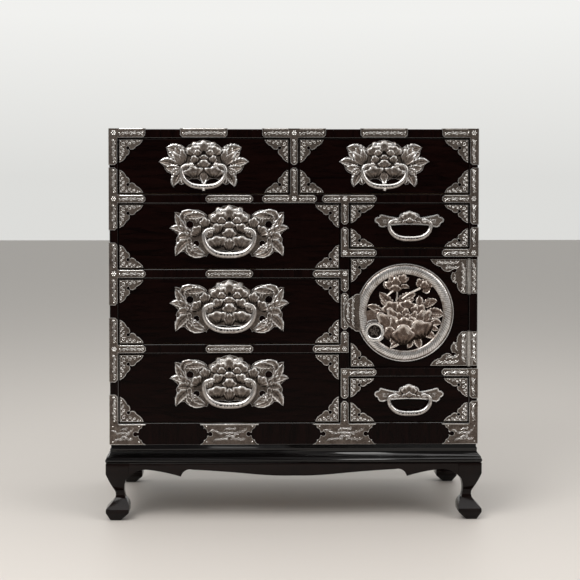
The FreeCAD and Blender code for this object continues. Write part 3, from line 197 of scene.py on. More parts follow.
def lacquer(name, dark, light, stretch, specular, ripple):
    material, tree, shader, spot = newMaterial(name)
    vector = stretched(tree, spot, stretch)
    grain = useGroup(tree, grainGroup, {"Vector": vector, "Dark": dark, "Light": light})
    feed(tree, shader, {
        "Base Color": grain["Colour"], "Roughness": grain["Roughness"], "Specular IOR Level": specular,
    })
    addBump(tree, shader, grain["Height"], ripple, 0.4 * mm)
    return material


frontLacquer, caseLacquer, standLacquer, mouldingLacquer, arrisLacquer = (
    lacquer(label + "Lacquer", **look) for label, look in lacquerLooks.items()
)
# Tones: hollow, brown and rubbed; rough: where it is rubbed and in the hollows; bump: strength and depth
metalLooks = {
    "sheetMetal": {
        "tones": ((0.046, 0.036, 0.030), (0.200, 0.166, 0.144), (0.71, 0.70, 0.68)),
        "rough": (0.26, 0.46), "punch": 430.0, "dotShade": -0.26,
    },
    "reliefMetal": {
        "tones": ((0.010, 0.008, 0.007), (0.205, 0.170, 0.146), (0.90, 0.90, 0.90)),
        "rough": (0.27, 0.50),
    },
    "peonyMetal": {
        "tones": ((0.012, 0.008, 0.006), (0.180, 0.132, 0.108), (0.75, 0.69, 0.64)),
        "rough": (0.28, 0.50),
    },
    "ringMetal": {
        "tones": ((0.012, 0.010, 0.009), (0.30, 0.26, 0.235), (0.80, 0.79, 0.775)),
        "rough": (0.24, 0.42),
    },
    "darkIron": {
        "tones": ((0.055, 0.05, 0.047), (0.14, 0.128, 0.12), (0.26, 0.24, 0.225)),
        "rough": (0.34, 0.55), "bump": (0.3, 0.3 * mm), "wear": 120.0,
    },
}


def metal(name, look):
    material, tree, shader, spot = newMaterial(name)
    if "wear" in look:       # worn in patches, and not by the drawn rise
        rise = remap(tree, noise(tree, spot, look["wear"], 4.0), 0.35, 0.7, 0.1, 0.9)
    else:
        # the drawn rise: patina tone, with painted highlight and painted shade on the petals, bail rings, the
        # knob and the pull grounds
        rise = addNode(tree, "ShaderNodeAttribute", attribute_name="rise").outputs["Fac"]
    if "punch" in look:
        ground = remap(tree, rise, 0.40, 0.60, 1, 0)       # only where the sheet is low
        dots = useGroup(tree, punchGroup, {"Vector": spot, "Scale": look["punch"]})["Dot"]
        dots = maths(tree, "MULTIPLY", dots, ground)
        rise = plus(tree, rise, dots, look["dotShade"])
    hollow, brown, rubbed = look["tones"]
    roughLow, roughHigh = look["rough"]
    aged = useGroup(tree, patinaGroup, {
        "Vector": spot, "Wear and painted light": rise, "Hollow": hollow, "Brown": brown, "Rubbed": rubbed,
        "Rough low": roughLow, "Rough high": roughHigh,
    })
    feed(tree, shader, {"Base Color": aged["Colour"], "Roughness": aged["Roughness"], "Metallic": 1.0})
    height = plus(tree, aged["Height"], dots, -1.0) if "punch" in look else aged["Height"]
    addBump(tree, shader, height, *look.get("bump", (0.25, 0.4 * mm)))
    return material


sheetMetal, reliefMetal, peonyMetal, ringMetal, darkIron = (metal(*item) for item in metalLooks.items())


def paleWood(name, dark, light, stretch):
    material, tree, shader, spot = newMaterial(name)
    vector = stretched(tree, spot, stretch)
    rings = noise(tree, vector, 5.0, 6.0, 1.6)
    pores = noise(tree, vector, 90.0, 2.0)
    figure = remap(tree, plus(tree, rings, pores, 0.35), 0.42, 0.9)
    feed(tree, shader, {
        "Base Color": mixColour(tree, figure, light, dark),
        "Roughness": remap(tree, pores, 0.3, 0.7, 0.45, 0.62),
    })
    addBump(tree, shader, figure, 0.12, 0.6 * mm)
    return material


drawerWood = paleWood("drawerWood", (0.36, 0.225, 0.115), (0.60, 0.44, 0.27), (14, 1.4, 14))
backWood = paleWood("backWood", (0.022, 0.010, 0.007), (0.072, 0.034, 0.021), (9, 9, 0.7))
print("materials made:", len(bpy.data.materials))


# Pieces
forward, leftward, rightward, upward = (Vector(way) for way in ((0, -1, 0), (-1, 0, 0), (1, 0, 0), (0, 0, 1)))


def sheetPlace(x=0.0, z=0.0, y=frontY):
    # a drawing with x across, y up and z out of the sheet, stood up on the front
    return Matrix.Translation((x, y, z)) @ Matrix.Rotation(math.pi / 2, 4, "X")


def middleOf(name, axis=0):
    low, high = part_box(name)
    return (low[axis] + high[axis]) / 2


def newSheet():
    bm = bmesh.new()
    return bm, bm.verts.layers.float.new("rise")


def nodeCopy(name, flatAngle=0.8):
    bm = bmesh.new()
    bm.from_mesh(nodes[name].data)
    rise = bm.verts.layers.float.new("rise")
    bmesh.ops.remove_doubles(bm, verts=bm.verts, dist=weldGap)
    bmesh.ops.dissolve_limit(bm, angle_limit=math.radians(flatAngle), verts=bm.verts, edges=bm.edges)
    return bm, rise


def islands(bm):
    left = dict.fromkeys(bm.verts)      # in a fixed order, unlike a set
    groups = []
    while left:
        grown = [left.popitem()[0]]
        for vert in grown:
            for edge in vert.link_edges:
                other = edge.other_vert(vert)
                if other in left:
                    del left[other]
                    grown.append(other)
        groups.append(grown)
    return groups


def span(verts, axis):
    values = [vert.co[axis] for vert in verts]
    return min(values), max(values)


def only(made, kind):
    return [part for part in made if isinstance(part, kind)]


def setRise(verts, rise, tone):
    for vert in verts:
        vert[rise] = tone


def roundEdges(bm, edges, width, segments):
    bmesh.ops.bevel(
        bm, geom=edges, offset=width, offset_type="OFFSET", segments=segments, profile=0.5,
        affect="EDGES", material=-1, clamp_overlap=True,
    )


# Slot of a piece, and the fold in degrees from which its edges are sharp
pieceLooks = {sheetMetal: ("fittings", 20), standLacquer: ("lacquer", 50), mouldingLacquer: ("lacquer", 50)}
usualLook = ("fittings", 38)


def finishPiece(bm, name, material, body, replaced=(), place=None):
    slotName, sharp = pieceLooks.get(material, usualLook)
    if place:
        bmesh.ops.transform(bm, matrix=place, verts=bm.verts)
    bmesh.ops.recalc_face_normals(bm, faces=bm.faces)
    for face in bm.faces:
        face.smooth = True
    for edge in bm.edges:
        edge.smooth = edge.calc_face_angle(0) < math.radians(sharp)
    mesh = bpy.data.meshes.new(name)
    bm.to_mesh(mesh)
    bm.free()
    mesh.materials.append(material)
    piece = bpy.data.objects.new(name, mesh)
    scene.collection.objects.link(piece)
    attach(piece, body)
    if replaced:
        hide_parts(*replaced)


def joinDrawing(bm, drawing, place):
    bmesh.ops.transform(drawing, matrix=place, verts=drawing.verts)
    bmesh.ops.recalc_face_normals(drawing, faces=drawing.faces)
    mesh = bpy.data.meshes.new("drawing")
    drawing.to_mesh(mesh)
    drawing.free()
    bm.from_mesh(mesh)
    bpy.data.meshes.remove(mesh)


# Sheet metal, in tones from 0, dark, to 1, bright
plateLook = {
    "rim": 1.5 * mm, "slope": 0.6 * mm, "drop": 0.55 * mm, "bevel": 0.6 * mm, "ground": 0.43, "edge": 0.80,
    "sheet": 2.0 * mm, "smallest": 60 * mm * mm, "scroll": 0.95, "foot": 0.35, "flatten": 0.8,
}


def facingFaces(bm, facing, least=0.0):
    bm.normal_update()
    return [f for f in bm.faces if f.normal.dot(facing) > 0.999 and f.calc_area() > least]


def raiseRims(bm, rise, facings):
    # leaves a raised border round every sheet face and lets the ground inside it drop
    setRise(bm.verts, rise, plateLook["edge"])
    for facing in facings:
        faces = facingFaces(bm, facing, plateLook["smallest"])
        for width in (plateLook["rim"], plateLook["slope"]):
            bmesh.ops.inset_region(bm, faces=faces, thickness=width, use_even_offset=True, use_boundary=True)
        ground = {v for f in faces for v in f.verts}
        bmesh.ops.translate(bm, vec=-facing * plateLook["drop"], verts=list(ground))
        setRise(ground, rise, plateLook["ground"])


def bevelOuter(bm, facings):
    bm.normal_update()
    edges = []
    for edge in bm.edges:
        if len(edge.link_faces) == 2 and edge.calc_face_angle(0) > math.radians(70):
            if any(f.normal.dot(facing) > 0.9 for f in edge.link_faces for facing in facings):
                edges.append(edge)
    roundEdges(bm, edges, plateLook["bevel"], 2)


def addTubes(bm, rise, paths, base, flatten=plateLook["flatten"], sides=0, steps=1, high=1.0, closed=False):
    # raised lines, each from a few points: across, up and half thickness; closed outlines aren't smoothed
    data = bpy.data.curves.new("lines", "CURVE")
    data.dimensions = "3D"
    data.bevel_depth = 1.0
    data.bevel_resolution = sides
    data.resolution_u = steps
    data.use_fill_caps = True
    for path in paths:
        line = data.splines.new("POLY" if closed else "NURBS")
        line.points.add(len(path) - 1)
        for point, (x, y, radius) in zip(line.points, path):
            point.co = (x, y, 0, 1)
            point.radius = radius
        if closed:
            line.use_cyclic_u = True
        else:
            line.order_u = 3
            line.use_endpoint_u = True
    holder = bpy.data.objects.new("lines", data)
    mesh = bpy.data.meshes.new_from_object(holder)
    before = set(bm.verts)
    bm.from_mesh(mesh)
    made = [vert for vert in bm.verts if vert not in before]
    for vert in made:
        vert[rise] = high if vert.co.z > 0 else plateLook["foot"]
        vert.co.z = base + vert.co.z * flatten
    bmesh.ops.remove_doubles(bm, verts=made, dist=meetGap)
    bpy.data.objects.remove(holder)
    bpy.data.curves.remove(data)
    bpy.data.meshes.remove(mesh)


def rimPaths(faces, radius):
    # the outlines of a group of front faces, drawn in by the thickness of the rim
    inside = set(faces)
    ahead = {}
    for face in faces:
        for loop in face.loops:
            if loop.link_loop_radial_next.face not in inside:
                ahead[loop.vert] = loop.link_loop_next.vert
    paths = []
    while ahead:
        vert, following = ahead.popitem()
        ring = [vert]
        while following in ahead:
            ring.append(following)
            following = ahead.pop(following)
        path = []
        for before, here, after in zip(ring[-1:] + ring[:-1], ring, ring[1:] + ring[:1]):
            arrive = Vector((here.co.x - before.co.x, here.co.z - before.co.z)).normalized()
            leave = Vector((after.co.x - here.co.x, after.co.z - here.co.z)).normalized()
            along = (arrive + leave).normalized()
            isHollow = arrive.cross(leave) < -0.08      # round a hole or in a notch the rim is thin
            thick = radius * (0.4 if isHollow else 1.0)
            path.append((here.co.x - along.y * thick, here.co.z + along.x * thick, thick))
        paths.append(path)
    return paths


def addRims(bm, rise, paths, base=plateLook["sheet"]):
    addTubes(bm, rise, paths, base, sides=1, closed=True)


def addBeads(bm, rise, spots, radius, base=plateLook["sheet"], flatten=0.7):
    for x, y in spots:
        made = bmesh.ops.create_icosphere(bm, subdivisions=1, radius=radius)["verts"]
        for vert in made:
            vert[rise] = 1.0 if vert.co.z > -0.2 * radius else 0.3
            vert.co.z *= flatten
        bmesh.ops.translate(bm, vec=(x, y, base), verts=made)


def addSkirt(bm, rise, skin, base=0.0):
    # closes a raised skin down to its base
    around = dict.fromkeys(e for v in skin for f in v.link_faces for e in f.edges)
    edges = [e for e in around if len(e.link_faces) == 1]
    made = bmesh.ops.extrude_edge_only(bm, edges=edges)["geom"]
    for vert in only(made, BMVert):
        vert.co.z = base
        vert[rise] = 0.0
    bmesh.ops.edgeloop_fill(bm, edges=[e for e in only(made, BMEdge) if len(e.link_faces) == 1])


def addDisc(bm, rise, spot, radius, segments, tone, base=0.0):
    made = bmesh.ops.create_circle(bm, cap_ends=True, segments=segments, radius=radius)["verts"]
    bmesh.ops.translate(bm, vec=spot, verts=made)
    setRise(made, rise, tone)
    addSkirt(bm, rise, made, base)


def clamp(value, low=0.0, high=1.0):
    return min(high, max(low, value))


def bump(value, middle, width):
    return math.exp(-((value - middle) / width) ** 2)


petalLook = {"fine": (28, 18), "wave": 0.36, "grooves": 19.0, "grooveDeep": 0.42, "grooveTone": 0.52}
leafLook = {"fine": (15, 30), "teeth": 6, "toothDeep": 0.44}


def addPetal(bm, rise, x, y, rx, ry, turn, base, height, lobes):
    # one cupped petal: fanned grooves and a lobed lip that turns over at its outer edge; painted highlight
    # over its upper half and along the lip, painted shade at its root and round its outer edge, and darker in
    # the grooves
    across, up = petalLook["fine"]
    made = bmesh.ops.create_grid(bm, x_segments=across, y_segments=up, size=1.0)["verts"]
    spin = Matrix.Rotation(math.radians(-turn), 2)
    for vert in made:
        u, v = vert.co.x, vert.co.y
        px = u * math.sqrt(1 - v * v / 2)
        py = v * math.sqrt(1 - u * u / 2)
        reach = min(1.0, math.hypot(px, py))
        outer = clamp(py * 1.4 + 0.25)
        lobe = outer * math.cos(lobes * math.atan2(px, py))
        share = clamp((py + 1) / 0.95)
        climb = share * share * (3 - 2 * share)
        lip = bump(reach, 0.85, 0.10) * outer
        fan = 0.5 + 0.5 * math.cos(math.atan2(px, py + 1.35) * petalLook["grooves"])
        groove = fan * reach * (1 - lip)
        shape = (0.24 + 0.50 * climb + 0.30 * lip) * (1 - 0.55 * reach ** 10) - 0.10 * bump(reach, 0.35, 0.3)
        shape += 0.08 * lobe * reach - petalLook["grooveDeep"] * groove
        spread = 1 + petalLook["wave"] / lobes ** 0.6 * lobe
        flat = spin @ Vector((px * rx * spread * (0.84 + 0.16 * share), py * ry * spread))
        vert.co = (x + flat.x, y + flat.y, base + height * shape)
        # tone: painted highlight towards the top and along the lip, painted shade at the root and at the very
        # edge, darker in the grooves
        glow = bump(reach, 0.80, 0.26) * outer
        tone = 0.10 + 0.40 * climb + 0.34 * lip + 0.36 * glow + 0.10 * lobe
        vert[rise] = clamp(tone - petalLook["grooveTone"] * groove - 0.55 * reach ** 14)
    addSkirt(bm, rise, made)


def addLeaf(bm, rise, path, breadth, base, height, teeth=leafLook["teeth"]):
    # one leaf along a bent line: a sunk midrib, slanting veins, and a bright toothed lip
    across, up = leafLook["fine"]
    made = bmesh.ops.create_grid(bm, x_segments=across, y_segments=up, size=1.0)["verts"]
    root, bend, tip = (Vector(spot) for spot in path)
    for vert in made:
        u, t = vert.co.x, (vert.co.y + 1) / 2
        middle = root * (1 - t) ** 2 + bend * (2 * t * (1 - t)) + tip * t ** 2
        along = (bend - root) * (1 - t) + (tip - bend) * t
        side = Vector((along.y, -along.x)).normalized()
        tooth = (t * teeth) % 1.0
        half = breadth / 2 * (0.30 + 0.70 * math.sin(math.pi * t ** 0.8) ** 0.7)
        half *= (1 - leafLook["toothDeep"] * tooth * (1 - t)) * (1 - t ** 6)
        midrib = bump(u, 0, 0.16)
        vein = (0.5 + 0.5 * math.cos(2 * math.pi * (t * teeth - 0.8 * abs(u)))) * (1 - midrib) * (1 - t)
        lip = bump(abs(u), 0.80, 0.16)
        swell = 0.62 + 0.38 * math.sin(math.pi * t)
        shape = (0.50 + 0.26 * bump(abs(u), 0.48, 0.34) - 0.20 * midrib - 0.20 * vein + 0.14 * lip) * swell
        flat = middle + side * (u * half)
        vert.co = (flat.x, flat.y, base + height * shape)
        vert[rise] = clamp(0.42 + 0.55 * lip - 0.40 * midrib - 0.42 * vein + 0.18 * t)
    bmesh.ops.remove_doubles(bm, verts=made, dist=meetGap)
    addSkirt(bm, rise, [v for v in made if v.is_valid])


def addLeaves(bm, rise, rows, wide, high, base, tall):
    # rows in shares of wide and high: root, bend and tip, each across and up, and the breadth
    for x1, y1, xb, yb, x2, y2, breadth in rows:
        path = [(x * wide, y * high) for x, y in ((x1, y1), (xb, yb), (x2, y2))]
        addLeaf(bm, rise, path, breadth * abs(high), base, tall)


def addPetals(bm, rise, rows, wide, high):
    # rows in shares of wide and high: across, up, half width, half height; turn, base, rise (mm) and lobes
    hand = math.copysign(1, wide)
    for x, y, rx, ry, turn, base, tall, lobes in rows:
        size = (rx * abs(wide), ry * abs(high))
        addPetal(bm, rise, x * wide, y * high, *size, hand * turn, base * mm, tall * mm, lobes)


def curlPath(look, middle, right, up, size, thick):
    # winds inward in even steps
    path = []
    for step in range(look["steps"]):
        turn = look["turn"] * step
        out = size * (look["out"] - look["shrink"] * step)
        spot = middle + right * (out * math.cos(turn)) + up * (out * math.sin(turn))
        path.append((spot.x, spot.y, thick * (look["thin"] + look["swell"] * step)))
    return path


curlLook = {"steps": 7, "turn": 1.15, "out": 1.2, "shrink": 0.15, "thin": 0.75, "swell": 0.06, "hollow": 0.45}


def vine(run, sway, thick, pitch, curl):
    # a waving stem with a curl in the hollow of each of its bends
    a, b = Vector(run[:2]), Vector(run[2:])
    along = b - a
    side = Vector((-along.y, along.x)).normalized()
    waves = max(1, round(along.length / pitch))
    half = along / (2 * waves)
    ahead = half.normalized()
    stem, paths = [], []
    for index in range(2 * waves + 1):
        hand = 1 if index % 2 else -1
        spot = a + half * index + side * (sway * hand)
        stem.append((spot.x, spot.y, thick))
        if index > 0:
            middle = a + half * index - side * (hand * sway * curlLook["hollow"])
            paths.append(curlPath(curlLook, middle, -ahead, side * hand, curl, thick))
    return paths + [stem]


def addVines(bm, rise, runs, shape, base=plateLook["sheet"], tone=plateLook["scroll"]):
    paths = [path for run in runs for path in vine(run, **shape)]
    addTubes(bm, rise, paths, base, steps=2, high=tone)


# Plates on the frame: a vine along every arm, and finer ones on the deep plates of the base
vineLook = {
    "vine": {"sway": 5.8 * mm, "thick": 0.78 * mm, "pitch": 18 * mm, "curl": 3.4 * mm},
    "nail": 1.7 * mm, "inset": 7 * mm, "least": 24 * mm, "armHalf": 15 * mm, "rim": 1.15 * mm,
    "ledge": 1.3 * mm, "ledgeFlatten": 0.9,
    "flower": {"petals": 6, "out": 2.6, "petal": 1.2, "flatten": 0.5},
}
# Deep plates of the base: runs in shares of the length between their cut-in ends and of the rise
deepLook = {
    "least": 40 * mm, "waist": 30 * mm, "rise": 27 * mm,
    "runs": [
        (-.02, .46, .26, .06), (1.02, .46, .74, .06), (.28, .12, .72, .1), (.04, -.52, .44, -.4),
        (.96, -.52, .56, -.4), (.36, -.16, .64, -.18), (.34, .48, .66, .5),
    ],
    "nails": (17 * mm, 19 * mm), "closed": 9 * mm,
    "ledge": 1.7 * mm, "ledgeStart": 2 * mm, "ledgeStop": 11 * mm,
    "vine": {"sway": 4.2 * mm, "thick": 0.58 * mm, "pitch": 13 * mm, "curl": 3.0 * mm}, "tone": 0.88,
}


def ledge(start, stop, top, thick):
    return [(x, top - thick, thick) for x in (start, (start + stop) / 2, stop)]


def deepRuns(xs, level, column, notes):
    # short vines strewn over a deep plate, a nail near each of its corners, and a ledge along its top
    z = (level[0] + level[1]) / 2
    ways = ((xs[0], 1), (xs[1], -1))
    isOpen = [column is None or abs(x - column) > deepLook["least"] for x, way in ways]
    margins = [deepLook["waist" if free else "closed"] for free in isOpen]
    low, high = (x + way * margin for (x, way), margin in zip(ways, margins))
    inward, apart = deepLook["nails"]
    for (x, way), free in zip(ways, isOpen):
        spot = x + way * (inward if free else deepLook["closed"])
        notes["nails"] += [(spot, z + apart), (spot, z - apart)]
        if free:
            stop = (xs[0] + xs[1]) / 2 if column is None else column - way * deepLook["ledgeStop"]
            notes["ledges"].append(ledge(x + way * deepLook["ledgeStart"], stop, level[1], deepLook["ledge"]))
    length, tall = high - low, deepLook["rise"]
    return [
        (low + length * x1, z + tall * z1, low + length * x2, z + tall * z2)
        for x1, z1, x2, z2 in deepLook["runs"]
    ]


def plateRuns(group, columns, notes):
    # the straight arms of one plate: from x, z to x, z; notes its nails, its ledges and where its arms cross
    verts = [v for v in group if v.co.y < frontY - plateLook["sheet"] / 2]
    xs, zs = span(verts, 0), span(verts, 2)
    column = next((x for x in columns if xs[0] < x < xs[1]), None)
    arms = [v for v in verts if column is None or abs(v.co.x - column) > vineLook["armHalf"]]
    inset, least = vineLook["inset"], vineLook["least"]
    level = span(arms, 2) if arms else None
    isDeep = bool(arms) and level[1] - level[0] > deepLook["least"]
    runs = []
    if arms and not isDeep:
        z = (level[0] + level[1]) / 2
        ends = [xs] if column is None else [(xs[0], column - inset), (column + inset, xs[1])]
        ends = [(x1 + inset, x2 - inset) for x1, x2 in ends if x2 - x1 > least]
        runs += [(x1, z, x2, z) for x1, x2 in ends]
        notes["ledges"] += [ledge(x1, x2, level[1], vineLook["ledge"]) for x1, x2 in ends]
        if column is not None:
            notes["crossings"].append((column, z))
    if column is not None:
        ends = [(zs[0], level[0]), (level[1], zs[1])] if arms else [zs]
        runs += [(column, z1 + inset, column, z2 - inset) for z1, z2 in ends if z2 - z1 > least]
    notes["nails"] += [spot for x1, z1, x2, z2 in runs for spot in ((x1, z1), (x2, z2))]
    if isDeep:
        notes["fine"] += deepRuns(xs, level, column, notes)
    return runs


def framePlates(nodeName, pieceName, columns, facings):
    bm, rise = nodeCopy(nodeName)
    notes = {"nails": [], "ledges": [], "crossings": [], "fine": []}
    runs = [run for group in islands(bm) for run in plateRuns(group, columns, notes)]
    raiseRims(bm, rise, facings)
    fronts = facingFaces(bm, forward)
    setRise({v for f in fronts for v in f.verts}, rise, plateLook["ground"])
    drawing, drawn = newSheet()
    addRims(drawing, drawn, rimPaths(fronts, vineLook["rim"]))
    bevelOuter(bm, facings + [forward])
    addVines(drawing, drawn, runs, vineLook["vine"])
    addVines(drawing, drawn, notes["fine"], deepLook["vine"], tone=deepLook["tone"])
    addTubes(drawing, drawn, notes["ledges"], plateLook["sheet"], vineLook["ledgeFlatten"], sides=2, steps=3)
    nail, flower = vineLook["nail"], vineLook["flower"]
    addBeads(drawing, drawn, notes["nails"], nail)
    # a small flower where the arms cross
    turns = [2 * math.pi * step / flower["petals"] for step in range(flower["petals"])]
    out = flower["out"] * nail
    for x, z in notes["crossings"]:
        addBeads(drawing, drawn, [(x, z)], nail)
        spots = [(x + out * math.cos(turn), z + out * math.sin(turn)) for turn in turns]
        addBeads(drawing, drawn, spots, flower["petal"] * nail, flatten=flower["flatten"])
    joinDrawing(bm, drawing, sheetPlace())
    finishPiece(bm, pieceName, sheetMetal, "case", [nodeName])


framePlates("left_stile_plates", "leftStileFittings", [middleOf("left_side")], [leftward, upward])
framePlates("right_stile_plates", "rightStileFittings", [middleOf("right_side")], [rightward, upward])
framePlates(
    "divider_plates", "dividerFittings", [middleOf("top_row_divider"), middleOf("column_divider")], [upward],
)
framePlates("rail_band_plates", "railBandFittings", [], [upward])
print("frame plates made")

# What tells a drawer's corner plates, its pull plate and its eyes apart
fittingLook = {"thin": 3 * mm, "edge": 4 * mm, "offMiddle": 2 * mm, "wide": 60 * mm, "proud": 12 * mm}


def fittingKind(group, frontName):
    low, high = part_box(frontName)
    xs, ys = span(group, 0), span(group, 1)
    isAtEdge = min(xs[0] - low.x, high.x - xs[1]) < fittingLook["edge"]
    if isAtEdge and ys[1] - ys[0] < fittingLook["thin"]:
        return "corner"
    isCentred = abs(sum(xs) / 2 - middleOf(frontName)) < fittingLook["offMiddle"]
    isWide = xs[1] - xs[0] > fittingLook["wide"]
    return "pull" if isCentred and isWide and ys[0] > frontY - fittingLook["proud"] else "eye"


def fittingCopy(name, kind, flatAngle=0.8):
    bm, rise = nodeCopy(name + "_fittings", flatAngle)
    for group in islands(bm):
        if fittingKind(group, name + "_front") != kind:
            bmesh.ops.delete(bm, geom=group, context="VERTS")
    return bm, rise


# Corner plates: curls and nails in shares of the plate, from its corner
cornerLook = {
    "curls": [
        (.17, .17, .09), (.44, .17, .07), (.17, .44, .07), (.62, .13, .06), (.13, .62, .06), (.32, .08, .055),
        (.08, .32, .055), (.52, .06, .04), (.06, .52, .04), (.76, .06, .045), (.06, .76, .045),
    ],
    "nails": [(.07, .07), (.86, .055), (.055, .86)],
    "curl": {"steps": 8, "turn": 1.0, "out": 1.15, "shrink": 0.12, "start": 5.0},
    "thick": 0.80 * mm, "nail": 1.4 * mm, "rim": 1.15 * mm,
}


def rimmedSheet(bm, rise):
    # a flat sheet, and a drawing with a bright bead along its cut edge
    setRise(bm.verts, rise, plateLook["ground"])
    drawing, drawn = newSheet()
    addRims(drawing, drawn, rimPaths(facingFaces(bm, forward, plateLook["smallest"]), cornerLook["rim"]))
    return drawing, drawn


def drawCorner(drawing, drawn, corner, towards):
    # curls and nails inside one corner plate
    look, paths = cornerLook["curl"], []
    for across, up, size in cornerLook["curls"]:
        curl = []
        for step in range(look["steps"]):
            turn = step * look["turn"] + across * look["start"]
            out = size * (look["out"] - look["shrink"] * step)
            x, y = across + out * math.cos(turn), up + out * math.sin(turn)
            curl.append((corner.x + towards.x * x, corner.y + towards.y * y, cornerLook["thick"]))
        paths.append(curl)
    addTubes(drawing, drawn, paths, plateLook["sheet"], steps=2, high=plateLook["scroll"])
    spots = [(corner.x + towards.x * x, corner.y + towards.y * y) for x, y in cornerLook["nails"]]
    addBeads(drawing, drawn, spots, cornerLook["nail"])


def cornerPlates(bm, rise, pieceName, body, nodeName, boardName):
    places = []
    for group in islands(bm):
        xs, zs = span(group, 0), span(group, 2)
        isLeft, isLow = sum(xs) / 2 < middleOf(boardName), sum(zs) / 2 < middleOf(boardName, 2)
        corner = Vector((xs[0] if isLeft else xs[1], zs[0] if isLow else zs[1]))
        towards = Vector(((xs[1] - xs[0]) * (1 if isLeft else -1), (zs[1] - zs[0]) * (1 if isLow else -1)))
        places.append((corner, towards))
    drawing, drawn = rimmedSheet(bm, rise)
    for corner, towards in places:
        drawCorner(drawing, drawn, corner, towards)
    joinDrawing(bm, drawing, sheetPlace())
    finishPiece(bm, pieceName, sheetMetal, body, [nodeName])


# Pull plates, for one half, in shares of half the width and of the height, downward:
# petals and leaves as rows of addPetals and addLeaves, the dark heart of the flower, and nails
pullLooks = {
    "left": {
        "petals": [
            (0, .336, .365, .325, 0, 1.0, 2.6, 11), (0, .2, .23, .16, 0, 2.2, 2.8, 9),
            (.173, .25, .16, .115, 20, 2.8, 3.4, 7), (.13, .305, .085, .075, 6, 4.0, 3.4, 3),
            (0, .39, .125, .07, 0, 4.2, 3.2, 3), (.325, .575, .075, .08, 35, 2.4, 3.4, 3),
            (.205, .455, .115, .105, 22, 3.6, 4.0, 5), (.208, .715, .195, .125, 8, 2.6, 4.0, 7),
            (0, .77, .1, .14, 0, 2.0, 3.0, 5), (0, .555, .14, .105, 0, 4.2, 4.2, 3),
            (.547, .505, .115, .105, 42, 2.0, 4.6, 5), (.405, .35, .095, .12, 10, 2.2, 4.8, 5),
        ],
        "leaves": [
            (.74, .22, .54, .165, .39, .21, .16), (.6, .215, .5, .27, .56, .345, .07),
            (.7, .5, .97, -.01, .395, .17, .13), (.71, .56, .82, .38, .91, .14, .18),
            (.61, .58, .82, .4, .995, .437, .16), (.64, .61, .8, .56, .86, .64, .19),
            (.71, .72, .56, .88, .395, .94, .16), (.69, .77, .58, .88, .47, .815, .08),
            (.64, .66, .86, .74, .885, .98, .21), (.66, .64, .74, 1.00, .385, .975, .17),
            (.66, .52, .6, .46, .51, .4, .06),
        ],
        "heart": .262, "tall": 4.2 * mm, "rim": 0.55 * mm, "ground": 0.26,
    },
    "top": {
        "petals": [
            (0, .31, .42, .3, 0, 1.0, 2.6, 11), (0, .19, .23, .165, 0, 2.2, 2.8, 9),
            (.22, .235, .19, .12, 18, 2.8, 3.4, 7), (.14, .28, .108, .075, 10, 4.0, 3.4, 3),
            (0, .375, .11, .06, 0, 4.2, 3.2, 3), (.205, .42, .11, .09, 14, 3.6, 4.0, 3),
            (0, .77, .1, .16, 180, 1.8, 3.4, 3), (.23, .68, .225, .13, 10, 2.6, 4.2, 5),
            (0, .515, .165, .095, 0, 4.2, 4.2, 3), (.55, .41, .115, .2, 42, 2.2, 4.4, 3),
            (.46, .36, .1, .17, 8, 2.6, 4.4, 3), (.4, .6, .1, .09, 50, 2.0, 3.4, 3),
        ],
        "leaves": [
            (.42, .27, .62, .175, .832, .15, .27), (.5, .34, .6, .2, .6, .11, .14),
            (.56, .36, .72, .31, .8, .26, .14), (.6, .54, .797, .41, .99, .466, .2),
            (.54, .6, .716, .6, .85, .575, .18), (.54, .62, .68, .68, .7, .745, .16),
            (.5, .68, .65, .783, .665, .985, .22), (.46, .76, .457, .86, .455, .935, .12),
        ],
        "heart": .262, "tall": 4.4 * mm, "rim": 0.55 * mm, "ground": 0.26,
    },
    "right": {
        "petals": [
            (0, .42, .25, .38, 0, 1.6, 3.2, 9), (.13, .7, .09, .14, 20, 1.8, 2.6, 3),
            (0, .62, .1, .2, 0, 3.4, 2.4, 5), (.27, .74, .08, .11, 40, 1.6, 2.4, 3),
        ],
        "leaves": [(.60, .64, .70, .56, .80, .52, .10), (.60, .70, .70, .74, .78, .70, .08)],
        "nails": [(.52, .58), (.60, .54), (.74, .62)],
        "tall": 2.0 * mm, "rim": 2.0 * mm, "ground": 0.45,
    },
    "leafBase": 1.2 * mm, "heart": {"radius": 4.6 * mm, "tall": 6.4 * mm, "tone": -0.6, "segments": 20},
}


